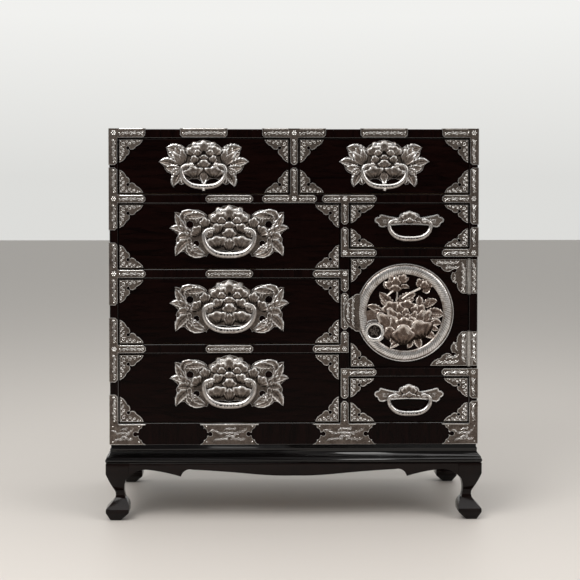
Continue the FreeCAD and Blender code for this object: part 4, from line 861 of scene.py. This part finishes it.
def pullPlate(name, kind, body):
    middle = middleOf(name + "_front")
    look = pullLooks[kind]
    sheet = plateLook["sheet"]
    bm, rise = fittingCopy(name, "pull", 0.2)
    # the sheet alone: its back face, brought forward again
    bm.normal_update()
    back = {f for f in bm.faces if f.normal.y > 0.99 and abs(f.calc_center_median().y - frontY) < 0.01 * mm}
    bmesh.ops.delete(bm, geom=[f for f in bm.faces if f not in back], context="FACES")
    xs, zs = span(bm.verts, 0), span(bm.verts, 2)
    halfWidth, height, topZ = (xs[1] - xs[0]) / 2, zs[1] - zs[0], zs[1]
    made = bmesh.ops.extrude_face_region(bm, geom=list(bm.faces))["geom"]
    bmesh.ops.translate(bm, vec=(0, -sheet, 0), verts=only(made, BMVert))
    # the ground's tone; on the left and top pulls it is set low as painted shade under the relief
    setRise(bm.verts, rise, look["ground"])
    bmesh.ops.recalc_face_normals(bm, faces=bm.faces)
    drawing, drawn = newSheet()
    addRims(drawing, drawn, rimPaths(only(made, BMFace), look["rim"]))
    bmesh.ops.translate(drawing, vec=(-middle, -topZ, 0), verts=drawing.verts)
    for side in (1, -1):
        wide = side * halfWidth
        addLeaves(drawing, drawn, look["leaves"], wide, -height, pullLooks["leafBase"], look["tall"])
        petals = [row for row in look["petals"] if row[0] or side > 0]       # the middle ones only once
        addPetals(drawing, drawn, petals, wide, -height)
        spots = [(x * wide, -y * height) for x, y in look.get("nails", ())]
        addBeads(drawing, drawn, spots, cornerLook["nail"])
    if "heart" in look:
        heart = pullLooks["heart"]
        spot = (0, -look["heart"] * height, heart["tall"])
        addDisc(drawing, drawn, spot, heart["radius"], heart["segments"], heart["tone"])
    joinDrawing(bm, drawing, sheetPlace(middle, topZ))
    finishPiece(bm, name + "_pull", reliefMetal, body, [name + "_fittings"])


def eyeFittings(name, body):
    bm, rise = fittingCopy(name, "eye")
    setRise(bm.verts, rise, plateLook["edge"])
    finishPiece(bm, name + "_eyes", ringMetal, body, [name + "_fittings"])


# Bails: the right half of the middle line from its pin, in shares of half the width, the drop and the grip's
# half thickness; cuts on the grip: across and half breadth in half widths, half height in half thicknesses
bailLooks = {
    "pinThick": .42,
    "line": [
        (.62, .0, .45), (.8, -.01, .52), (.955, .1, .62), (.985, .3, .7), (.9, .62, .8),
        (.64, .9, .92), (.32, 1.0, 1.0), (.0, 1.01, 1.0),
    ],
    "top": {"width": 117 * mm, "drop": 52 * mm, "pin": .44, "grip": 6.4 * mm},
    "left": {"width": 134 * mm, "drop": 62 * mm, "pin": .56, "grip": 7.8 * mm},
    "right": {"width": 112 * mm, "drop": 44 * mm, "pin": .545, "grip": 6.3 * mm},
    "flatten": 0.76, "end": 3.6 * mm, "thinnest": 3.3 * mm, "tone": 0.72, "light": 0.24,
    "bud": {"radius": 4.6 * mm, "long": 1.25, "below": 5.6 * mm, "tone": 0.9},
    "cuts": [(.068, .034, .30), (.175, .020, .44), (.32, .080, .30), (.49, .032, .32)],
    "cutDeep": 0.8 * mm, "cutSunk": 0.6, "cutClimb": 0.22, "cutBack": 0.2,
}


def bailRing(name, kind, body):
    look = bailLooks[kind]
    grip, drop, flatten = look["grip"], look["drop"], bailLooks["flatten"]
    half = look["width"] / 2 - bailLooks["end"]
    line = [(look["pin"], 0, bailLooks["pinThick"])] + bailLooks["line"]
    right = [(x * half, -y * drop, max(bailLooks["thinnest"], r * grip)) for x, y, r in line]
    left = [(-x, y, r) for x, y, r in reversed(right[:-1])]
    bm, rise = newSheet()
    addTubes(bm, rise, [right + left], 0, flatten, sides=6, steps=10)
    # painted highlight on the upward-facing side, painted shade on the downward-facing side
    bmesh.ops.recalc_face_normals(bm, faces=bm.faces)
    bm.normal_update()
    for vert in bm.verts:
        vert[rise] = bailLooks["tone"] + bailLooks["light"] * vert.normal.y
    # dark cuts along the front of the grip, the same on both sides of its middle
    deep = bailLooks["cutDeep"]
    for share, breadth, tall in bailLooks["cuts"]:
        y = -drop * (1 - bailLooks["cutClimb"] * share ** 2)
        z = grip * flatten * (1 - bailLooks["cutBack"] * share ** 2) - bailLooks["cutSunk"] * deep
        for side in (1, -1):
            made = bmesh.ops.create_icosphere(bm, subdivisions=2, radius=1.0)["verts"]
            setRise(made, rise, 0.0)
            bmesh.ops.scale(bm, vec=(breadth * half, tall * grip, deep), verts=made)
            bmesh.ops.translate(bm, vec=(side * share * half, y, z), verts=made)
    if kind == "top":
        bud = bailLooks["bud"]
        made = bmesh.ops.create_uvsphere(bm, u_segments=20, v_segments=12, radius=bud["radius"])["verts"]
        setRise(made, rise, bud["tone"])
        bmesh.ops.scale(bm, vec=(1, bud["long"], 1), verts=made)
        bmesh.ops.translate(bm, vec=(0, -drop - bud["below"], 0), verts=made)
    node = name + "_bail"
    place = sheetPlace(middleOf(node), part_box(node)[1].z - bailLooks["end"], middleOf(node, 1))
    finishPiece(bm, name + "_ring", ringMetal, body, [node], place=place)


drawerKinds = {
    "top_left": "top", "top_right": "top", "left_upper": "left", "left_middle": "left", "left_lower": "left",
    "right_upper": "right", "right_lower": "right",
}
for name, kind in drawerKinds.items():
    body = name + "_drawer"
    cornerPlates(*fittingCopy(name, "corner"), name + "_corners", body, name + "_fittings", name + "_front")
    pullPlate(name, kind, body)
    eyeFittings(name, body)
    bailRing(name, kind, name + "_bail")
print("drawer fittings made")

# Door fittings
doorPlates = "door_corner_plates"
cornerPlates(*nodeCopy(doorPlates), "doorCornerFittings", "door", doorPlates, "door_panel")
# Hinge leaves: vines from and to points off the pin and the leaf's end; knuckles stand so many sheets proud
hingeLook = {
    "door": [
        (-.013, .008, -.013, .078), (-.024, .009, -.078, .008), (-.024, .022, -.054, .02),
        (-.031, .036, -.034, .056),
    ],
    "case": [(.0135, .008, .0135, .078)],
    "vine": {"sway": 5.0 * mm, "thick": 0.95 * mm, "pitch": 15 * mm, "curl": 3.0 * mm},
    "knuckle": 1.6,
}


def hingePlates(nodeName, pieceName, body):
    bm, rise = nodeCopy(nodeName)
    low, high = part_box(nodeName)
    pinX = middleOf("hinge_pins")
    drawing, drawn = rimmedSheet(bm, rise)
    proud = frontY - hingeLook["knuckle"] * plateLook["sheet"]
    setRise([v for v in bm.verts if v.co.y < proud], rise, plateLook["edge"])
    runs = [
        (pinX + x1, end + way * z1, pinX + x2, end + way * z2)
        for x1, z1, x2, z2 in hingeLook[body] for end, way in ((low.z, 1), (high.z, -1))
    ]
    addVines(drawing, drawn, runs, hingeLook["vine"])
    joinDrawing(bm, drawing, sheetPlace())
    finishPiece(bm, pieceName, sheetMetal, body, [nodeName])


hingePlates("hinge_door_leaves", "hingeDoorFittings", "door")
hingePlates("hinge_case_leaves", "hingeCaseFittings", "case")

# Round lock plate, in shares of its radius: the ring's profile as radius, height (mm) and tone; petals and
# leaves as rows of addPetals and addLeaves; stems as across, up and half thickness (mm)
lockLow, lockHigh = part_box("lock_plate")
lockRadius = (lockHigh.z - lockLow.z) / 2
lockPlace = sheetPlace(lockHigh.x - lockRadius, (lockLow.z + lockHigh.z) / 2)
lockLook = {
    "ring": [
        (.778, 0, 0), (.778, 2.4, .3), (.786, 3.2, .6), (.8, 3.9, .56), (.82, 4.7, .66), (.84, 5.3, .74),
        (.86, 5.7, .78), (.88, 5.8, .8), (.9, 5.7, .8), (.92, 5.3, .78), (.94, 4.6, .7), (.956, 3.8, .5),
        (.964, 3.0, .1), (.972, 3.0, .1), (.98, 3.9, .9), (.992, 3.9, 1.0), (1.0, 2.6, .5), (1.0, 0, 0),
    ],
    "steps": 600,
    "rope": {
        "strands": 120, "slant": 70.0, "middle": .878, "half": .082, "deep": 0.28 * mm, "tone": 0.24,
        "above": 3 * mm,
    },
    "petals": [
        (-.24, .66, .12, .12, -35, 1.6, 4.0, 4), (-.06, .67, .11, .12, 35, 1.6, 4.0, 4),
        (-.3, .56, .1, .11, -70, 1.8, 4.0, 3), (-.18, .6, .12, .12, 0, 3.0, 4.0, 3),
        (-.2, .48, .15, .085, 0, 3.4, 3.8, 3), (.32, .6, .1, .1, -35, 1.6, 3.8, 4),
        (.48, .58, .1, .1, 45, 1.6, 3.8, 4), (.4, .54, .11, .1, 0, 3.0, 3.8, 3),
        (.44, .46, .1, .07, 160, 2.4, 3.4, 3), (-.03, -.24, .42, .32, 180, 0.6, 3.0, 7),
        (-.29, .09, .19, .15, -24, 1.6, 4.6, 5), (.05, .13, .18, .13, 5, 1.6, 4.6, 5),
        (.3, .04, .15, .14, 36, 1.8, 4.6, 5), (.41, -.1, .12, .17, 40, 2.0, 4.4, 3),
        (-.1, .06, .1, .11, -14, 2.6, 4.2, 3), (.19, .04, .1, .11, 26, 2.6, 4.2, 3),
        (-.23, -.09, .14, .2, -30, 2.8, 4.4, 3), (.3, -.12, .11, .18, 26, 2.8, 4.2, 3),
        (.02, -.01, .1, .1, 6, 3.2, 4.2, 3), (-.1, -.09, .09, .1, -22, 3.4, 4.2, 3),
        (.17, -.09, .09, .13, 24, 3.4, 4.2, 3), (.05, -.1, .1, .08, 8, 3.8, 4.2, 3),
        (.12, -.25, .2, .16, 14, 3.4, 3.6, 3), (-.18, -.26, .16, .18, -24, 3.4, 3.6, 3),
        (-.015, -.22, .19, .13, 0, 4.0, 4.4, 5), (-.3, -.42, .17, .13, -14, 3.2, 3.4, 3),
        (-.36, -.22, .19, .27, -42, 3.6, 3.8, 4), (.3, -.35, .29, .19, -22, 4.2, 3.8, 4),
        (-.03, -.46, .27, .2, 0, 4.8, 3.8, 3),
    ],
    "leaves": [
        (-.22, .14, -.42, .3, -.52, .42, .2), (-.3, .12, -.42, .22, -.5, .24, .13),
        (-.14, .24, .06, .34, .24, .385, .2), (-.02, .2, .1, .28, .2, .26, .14),
        (.3, .12, .3, .26, .3, .345, .16), (.36, .1, .54, .26, .67, .23, .18),
        (.42, .12, .5, .3, .46, .28, .12), (.46, .02, .66, .05, .79, -.04, .17),
        (.5, -.08, .64, -.04, .76, -.06, .1), (.46, -.2, .64, -.16, .755, -.24, .17),
        (.5, -.24, .6, -.34, .7, -.35, .12), (.36, -.4, .52, -.42, .62, -.53, .18),
        (.2, -.48, .3, -.6, .3, -.745, .18), (.12, -.52, .14, -.64, .05, -.73, .14),
        (-.06, -.56, -.2, -.62, -.31, -.74, .14), (-.16, -.5, -.28, -.56, -.27, -.62, .12),
        (-.46, .00, -.6, .14, -.78, .13, .16), (-.44, -.02, -.58, .06, -.66, .03, .1),
        (-.1, .52, .04, .56, .09, .49, .1), (-.34, .5, -.42, .56, -.4, .65, .1),
        (-.04, .6, .06, .7, .08, .72, .08), (.3, .52, .24, .58, .27, .66, .08),
        (.52, .52, .56, .6, .54, .66, .08),
    ],
    "leafBase": 1.0 * mm, "leafTall": 3.8 * mm,
    "stems": [
        [(-.22, .46, 2.8), (-.3, .4, 3.0), (-.36, .34, 2.4)],
        [(-.16, .44, 2.2), (-.14, .34, 2.6), (-.18, .24, 2.4)],
        [(.32, .5, 3.2), (.2, .44, 3.2), (.06, .38, 2.6), (-.06, .28, 2.2)],
        [(.52, -.2, 1.4), (.66, -.12, 1.5), (.79, -.05, 1.2)],
        [(-.3, -.72, 1.6), (-.16, -.66, 1.8), (-.04, -.58, 1.6)],
    ],
    "stemBase": 2.4 * mm, "stemFlatten": 0.9,
    "gusset": {
        "x": -.64, "y": -.17, "radius": .235, "top": 1.8 * mm, "foot": 0.2 * mm, "segments": 48, "tone": 0.52,
    },
}


def turned(profile, steps, isClosed=False):
    # a profile of radius, height and tone, spun round the middle of the sheet
    bm, rise = newSheet()
    verts = [bm.verts.new((r, 0, z)) for r, z, tone in profile]
    for vert, (r, z, tone) in zip(verts, profile):
        vert[rise] = tone
    edges = [bm.edges.new(pair) for pair in zip(verts, verts[1:] + verts[:1] if isClosed else verts[1:])]
    bmesh.ops.spin(
        bm, geom=verts + edges, cent=(0, 0, 0), axis=(0, 0, 1), angle=2 * math.pi, steps=steps,
        use_merge=True,
    )
    bmesh.ops.remove_doubles(bm, verts=bm.verts, dist=meetGap)
    return bm, rise


def lockRing():
    profile = [(r * lockRadius, z * mm, tone) for r, z, tone in lockLook["ring"]]
    bm, rise = turned(profile, lockLook["steps"], isClosed=True)
    # the round band is cut like a rope
    rope = lockLook["rope"]
    for vert in bm.verts:
        away = math.hypot(vert.co.x, vert.co.y) / lockRadius - rope["middle"]
        fall = max(0.0, 1 - (away / rope["half"]) ** 2)
        if vert.co.z > rope["above"] and fall > 0:
            turn = math.atan2(vert.co.y, vert.co.x)
            wave = math.cos(rope["strands"] * turn + rope["slant"] * away) * fall
            vert.co.z += rope["deep"] * wave
            vert[rise] += rope["tone"] * wave
    finishPiece(bm, "lockRing", reliefMetal, "door", ["lock_plate"], place=lockPlace)


tabLook = {
    "outline": [
        (-.9, .385), (-.985, .385), (-1.012, .37), (-1.035, .345), (-1.075, .327), (-1.1, .298),
        (-1.148, .272), (-1.172, .232), (-1.21, .186), (-1.23, .13), (-1.242, .07), (-1.246, .0),
    ],
    "low": 2.6 * mm, "thick": 2.4 * mm, "ground": 0.42, "rim": 1.2 * mm, "middle": -1.07, "shrink": 0.965,
    "vine": {"sway": 4.2 * mm, "thick": 0.9 * mm, "pitch": 17 * mm, "curl": 3.2 * mm},
    "columns": [(-1.155, .20), (-1.055, .30)], "tone": 1.0,
}


def lockTab():
    bm, rise = newSheet()
    upper = tabLook["outline"]
    spots = upper + [(x, -y) for x, y in reversed(upper[:-1])]
    face = bm.faces.new([bm.verts.new((x * lockRadius, y * lockRadius, tabLook["low"])) for x, y in spots])
    made = bmesh.ops.extrude_face_region(bm, geom=[face])["geom"]
    bmesh.ops.translate(bm, vec=(0, 0, tabLook["thick"]), verts=only(made, BMVert))
    bmesh.ops.recalc_face_normals(bm, faces=bm.faces)
    setRise(bm.verts, rise, tabLook["ground"])
    top, middle, shrink = tabLook["low"] + tabLook["thick"], tabLook["middle"], tabLook["shrink"]
    rim = [(middle + (x - middle) * shrink, y * shrink) for x, y in spots]
    addRims(bm, rise, [[(x * lockRadius, y * lockRadius, tabLook["rim"]) for x, y in rim]], top)
    runs = [[share * lockRadius for share in (x, -reach, x, reach)] for x, reach in tabLook["columns"]]
    addVines(bm, rise, runs, tabLook["vine"], top, tabLook["tone"])
    finishPiece(bm, "lockTab", sheetMetal, "door", ["lock_plate"], place=lockPlace)


def lockPeony():
    bm, rise = newSheet()
    look, disc = lockLook, lockLook["gusset"]
    spot = (disc["x"] * lockRadius, disc["y"] * lockRadius, disc["top"])
    addDisc(bm, rise, spot, disc["radius"] * lockRadius, disc["segments"], disc["tone"], disc["foot"])
    addLeaves(bm, rise, look["leaves"], lockRadius, lockRadius, look["leafBase"], look["leafTall"])
    addPetals(bm, rise, look["petals"], lockRadius, lockRadius)
    stems = [[(x * lockRadius, y * lockRadius, r * mm) for x, y, r in stem] for stem in look["stems"]]
    addTubes(bm, rise, stems, look["stemBase"], look["stemFlatten"], sides=2, steps=4)
    finishPiece(bm, "lockPeony", peonyMetal, "door", ["lock_plate"], place=lockPlace)


lockRing()
lockTab()
lockPeony()

# Lock knob: a turned cup with a star sunk in it, and the flange that it turns on, as radius, height and tone;
# the cup's floor and the star are toned dark as painted shade in its recess
knobLook = {
    "cup": [
        (0, 5.4, 0), (11.0, 5.4, 0), (14.6, 6.4, 0), (15.4, 11.0, .5), (16.6, 13.2, 1), (18.6, 14.4, 1),
        (21.3, 14.7, 1), (23.1, 14.0, 1), (23.9, 12.2, .8), (23.9, 8.0, 0), (22.8, 4.4, 0), (23.6, 3.2, 0),
        (0, 3.0, 0),
    ],
    "flange": [
        (0, 0.3, .4), (0, 2.4, .4), (24.5, 2.4, .85), (27.0, 2.8, .85), (28.4, 2.2, .85), (28.8, 0.3, .85),
    ],
    "steps": 64, "shaft": 3.0 * mm,
    "star": {
        "points": 5, "reach": 13.6 * mm, "breadth": 8.0 * mm, "base": 5.2 * mm, "tall": 1.6 * mm, "tone": 0.3,
    },
}


def lockKnob():
    place = sheetPlace(middleOf("lock_knob"), middleOf("lock_knob", 2))
    cup, flange = (
        turned([(r * mm, z * mm, tone) for r, z, tone in knobLook[label]], knobLook["steps"])[0]
        for label in ("cup", "flange")
    )
    star, drawn = newSheet()
    look = knobLook["star"]
    for step in range(look["points"]):
        turn = math.radians(90 + 360 * step / look["points"])
        out = Vector((math.cos(turn), math.sin(turn))) * look["reach"]
        addLeaf(star, drawn, (Vector((0, 0)), out / 2, out), look["breadth"], look["base"], look["tall"], 1)
    # the star is darkened as painted shade in the cup's recess
    for vert in star.verts:
        vert[drawn] *= look["tone"]
    joinDrawing(cup, star, Matrix())
    finishPiece(cup, "lockKnobCup", ringMetal, "lock_knob", ["lock_knob"], place=place)
    finishPiece(flange, "lockKnobFlange", reliefMetal, "door", place=place)
    # the shaft is the CAD node up to the cup
    shaft, rise = nodeCopy("lock_knob")
    bmesh.ops.bisect_plane(
        shaft, geom=list(shaft.verts) + list(shaft.edges) + list(shaft.faces), clear_outer=True,
        plane_co=(0, frontY - knobLook["shaft"], 0), plane_no=forward,
    )
    bmesh.ops.holes_fill(shaft, edges=[e for e in shaft.edges if e.is_boundary], sides=0)
    finishPiece(shaft, "lockKnobShaft", darkIron, "lock_knob", ["lock_knob"])


lockKnob()
print("door fittings made")

# Stand: the least and the greatest fold of the edges that are rounded, in degrees, the width and the segments
standLook = {
    "leg": [(12, 40, 9 * mm, 5), (40, 180, 1.8 * mm, 3)],
    "apron": [(40, 180, 1.6 * mm, 3)],
    "moulding": [(40, 180, 0.8 * mm, 3)],
}


def bevelledCopy(nodeName, pieceName, material, rounds):
    bm, rise = nodeCopy(nodeName, 0.3)
    for least, greatest, width, segments in rounds:
        bm.normal_update()
        folds = {e: math.degrees(e.calc_face_angle(0)) for e in bm.edges if len(e.link_faces) == 2}
        roundEdges(bm, [e for e, fold in folds.items() if least < fold <= greatest], width, segments)
    finishPiece(bm, pieceName, material, "case", [nodeName])


for corner in ("front_left", "front_right", "back_left", "back_right"):
    bevelledCopy(corner + "_leg", corner + "_carvedLeg", standLacquer, standLook["leg"])
bevelledCopy("stand_aprons", "standApronBoards", standLacquer, standLook["apron"])
bevelledCopy("stand_moulding", "standMouldingRails", mouldingLacquer, standLook["moulding"])
print("stand made")

# CAD nodes that stay, with the widths of their rounded edges
keptNodes = {
    frontLacquer: [name + "_front" for name in drawerKinds] + ["door_panel"],
    caseLacquer: [
        "left_side", "right_side", "top_board", "base_rail", "column_divider", "top_row_divider",
        "top_row_shelf", "left_upper_shelf", "left_lower_shelf", "right_upper_shelf", "right_lower_shelf",
    ],
    drawerWood: [name + "_box" for name in drawerKinds] + ["bottom_board"],
    backWood: ["back_panel"],
    darkIron: ["lock_case", "lock_bolt", "hinge_pins"],
}
arrisLook = {
    "board": 1.5 * mm, "box": 0.7 * mm, "segments": 3, "fold": 40,
    "column_divider": 0.3 * mm,       # leaves the bolt room in its mortise
}
for material, names in keptNodes.items():
    for name in names:
        node = nodes[name]
        node.data.materials.clear()
        node.data.materials.append(material)
        if material is darkIron:
            continue
        weld = node.modifiers.new("weld", "WELD")
        weld.merge_threshold = weldGap
        bevel = node.modifiers.new("bevel", "BEVEL")
        bevel.width = arrisLook.get(name, arrisLook["box" if material is drawerWood else "board"])
        bevel.segments = arrisLook["segments"]
        # the rounded edges get the arris lacquer, lighter as a painted highlight and glossier
        if material in (frontLacquer, caseLacquer):
            node.data.materials.append(arrisLacquer)
            bevel.material = 1
        bevel.limit_method = "ANGLE"
        bevel.angle_limit = math.radians(arrisLook["fold"])
print("CAD nodes dressed")

# Room: pale floor, soft lamps, and a camera where the photograph was taken from
roomLook = {
    "camera": {
        "place": (-0.100, -3.411, 0.842), "pitch": 1.40, "yaw": 0.85, "lens": 81.45,
        "shift": (0.0301, -0.140),
    },
    "lamps": [
        ("keyLamp", (-1.6, -2.4, 2.9), 2.0, 94.0, (1.0, 0.985, 0.965)),
        ("fillLamp", (2.6, -2.2, 2.2), 2.0, 44.0, (1.0, 0.98, 0.96)),
        ("topLamp", (0.2, -0.5, 3.2), 2.6, 46.0, (1.0, 0.99, 0.98)),
    ],
    "aim": (0, -0.1, 0.5),
    "floor": (0.57, 0.535, 0.50), "floorRough": 0.55, "floorSize": 14.0,
    "front": (0.120, 0.118, 0.117), "horizon": (0.72, 0.72, 0.70), "wall": (0.88, 0.88, 0.86),
}
floorBm = bmesh.new()
bmesh.ops.create_grid(floorBm, x_segments=1, y_segments=1, size=roomLook["floorSize"])
floorMesh = bpy.data.meshes.new("floor")
floorBm.to_mesh(floorMesh)
floorBm.free()
floorMaterial, floorTree, floorShader = newMaterial("paleFloor")[:3]
feed(floorTree, floorShader, {"Base Color": roomLook["floor"], "Roughness": roomLook["floorRough"]})
floorMesh.materials.append(floorMaterial)
floor = bpy.data.objects.new("floor", floorMesh)
scene.collection.objects.link(floor)

for lampName, place, size, power, colour in roomLook["lamps"]:
    lampData = bpy.data.lights.new(lampName, "AREA")
    lampData.size = size
    lampData.energy = power
    lampData.color = colour
    lamp = bpy.data.objects.new(lampName, lampData)
    lamp.location = place
    lamp.rotation_euler = (Vector(roomLook["aim"]) - Vector(place)).to_track_quat("-Z", "Y").to_euler()
    scene.collection.objects.link(lamp)

world = bpy.data.worlds.new("room")
world.use_nodes = True
sky = world.node_tree
direction = addNode(sky, "ShaderNodeTexCoord").outputs["Generated"]
parts = addNode(sky, "ShaderNodeSeparateXYZ", {0: direction}).outputs
wallColour = mixColour(sky, remap(sky, parts["Z"], 0, 0.12), roomLook["horizon"], roomLook["wall"])
skyColour = mixColour(sky, remap(sky, parts["Y"], -0.6, 0.7), roomLook["front"], wallColour)
feed(sky, sky.nodes["Background"], {"Color": skyColour})
scene.world = world

cameraLook = roomLook["camera"]
cameraData = bpy.data.cameras.new("camera")
cameraData.lens = cameraLook["lens"]
cameraData.shift_x, cameraData.shift_y = cameraLook["shift"]
camera = bpy.data.objects.new("camera", cameraData)
camera.location = cameraLook["place"]
camera.rotation_euler = (math.radians(90 - cameraLook["pitch"]), 0, math.radians(-cameraLook["yaw"]))
scene.collection.objects.link(camera)
scene.camera = camera
scene.view_settings.view_transform = "Standard"
print("room made")
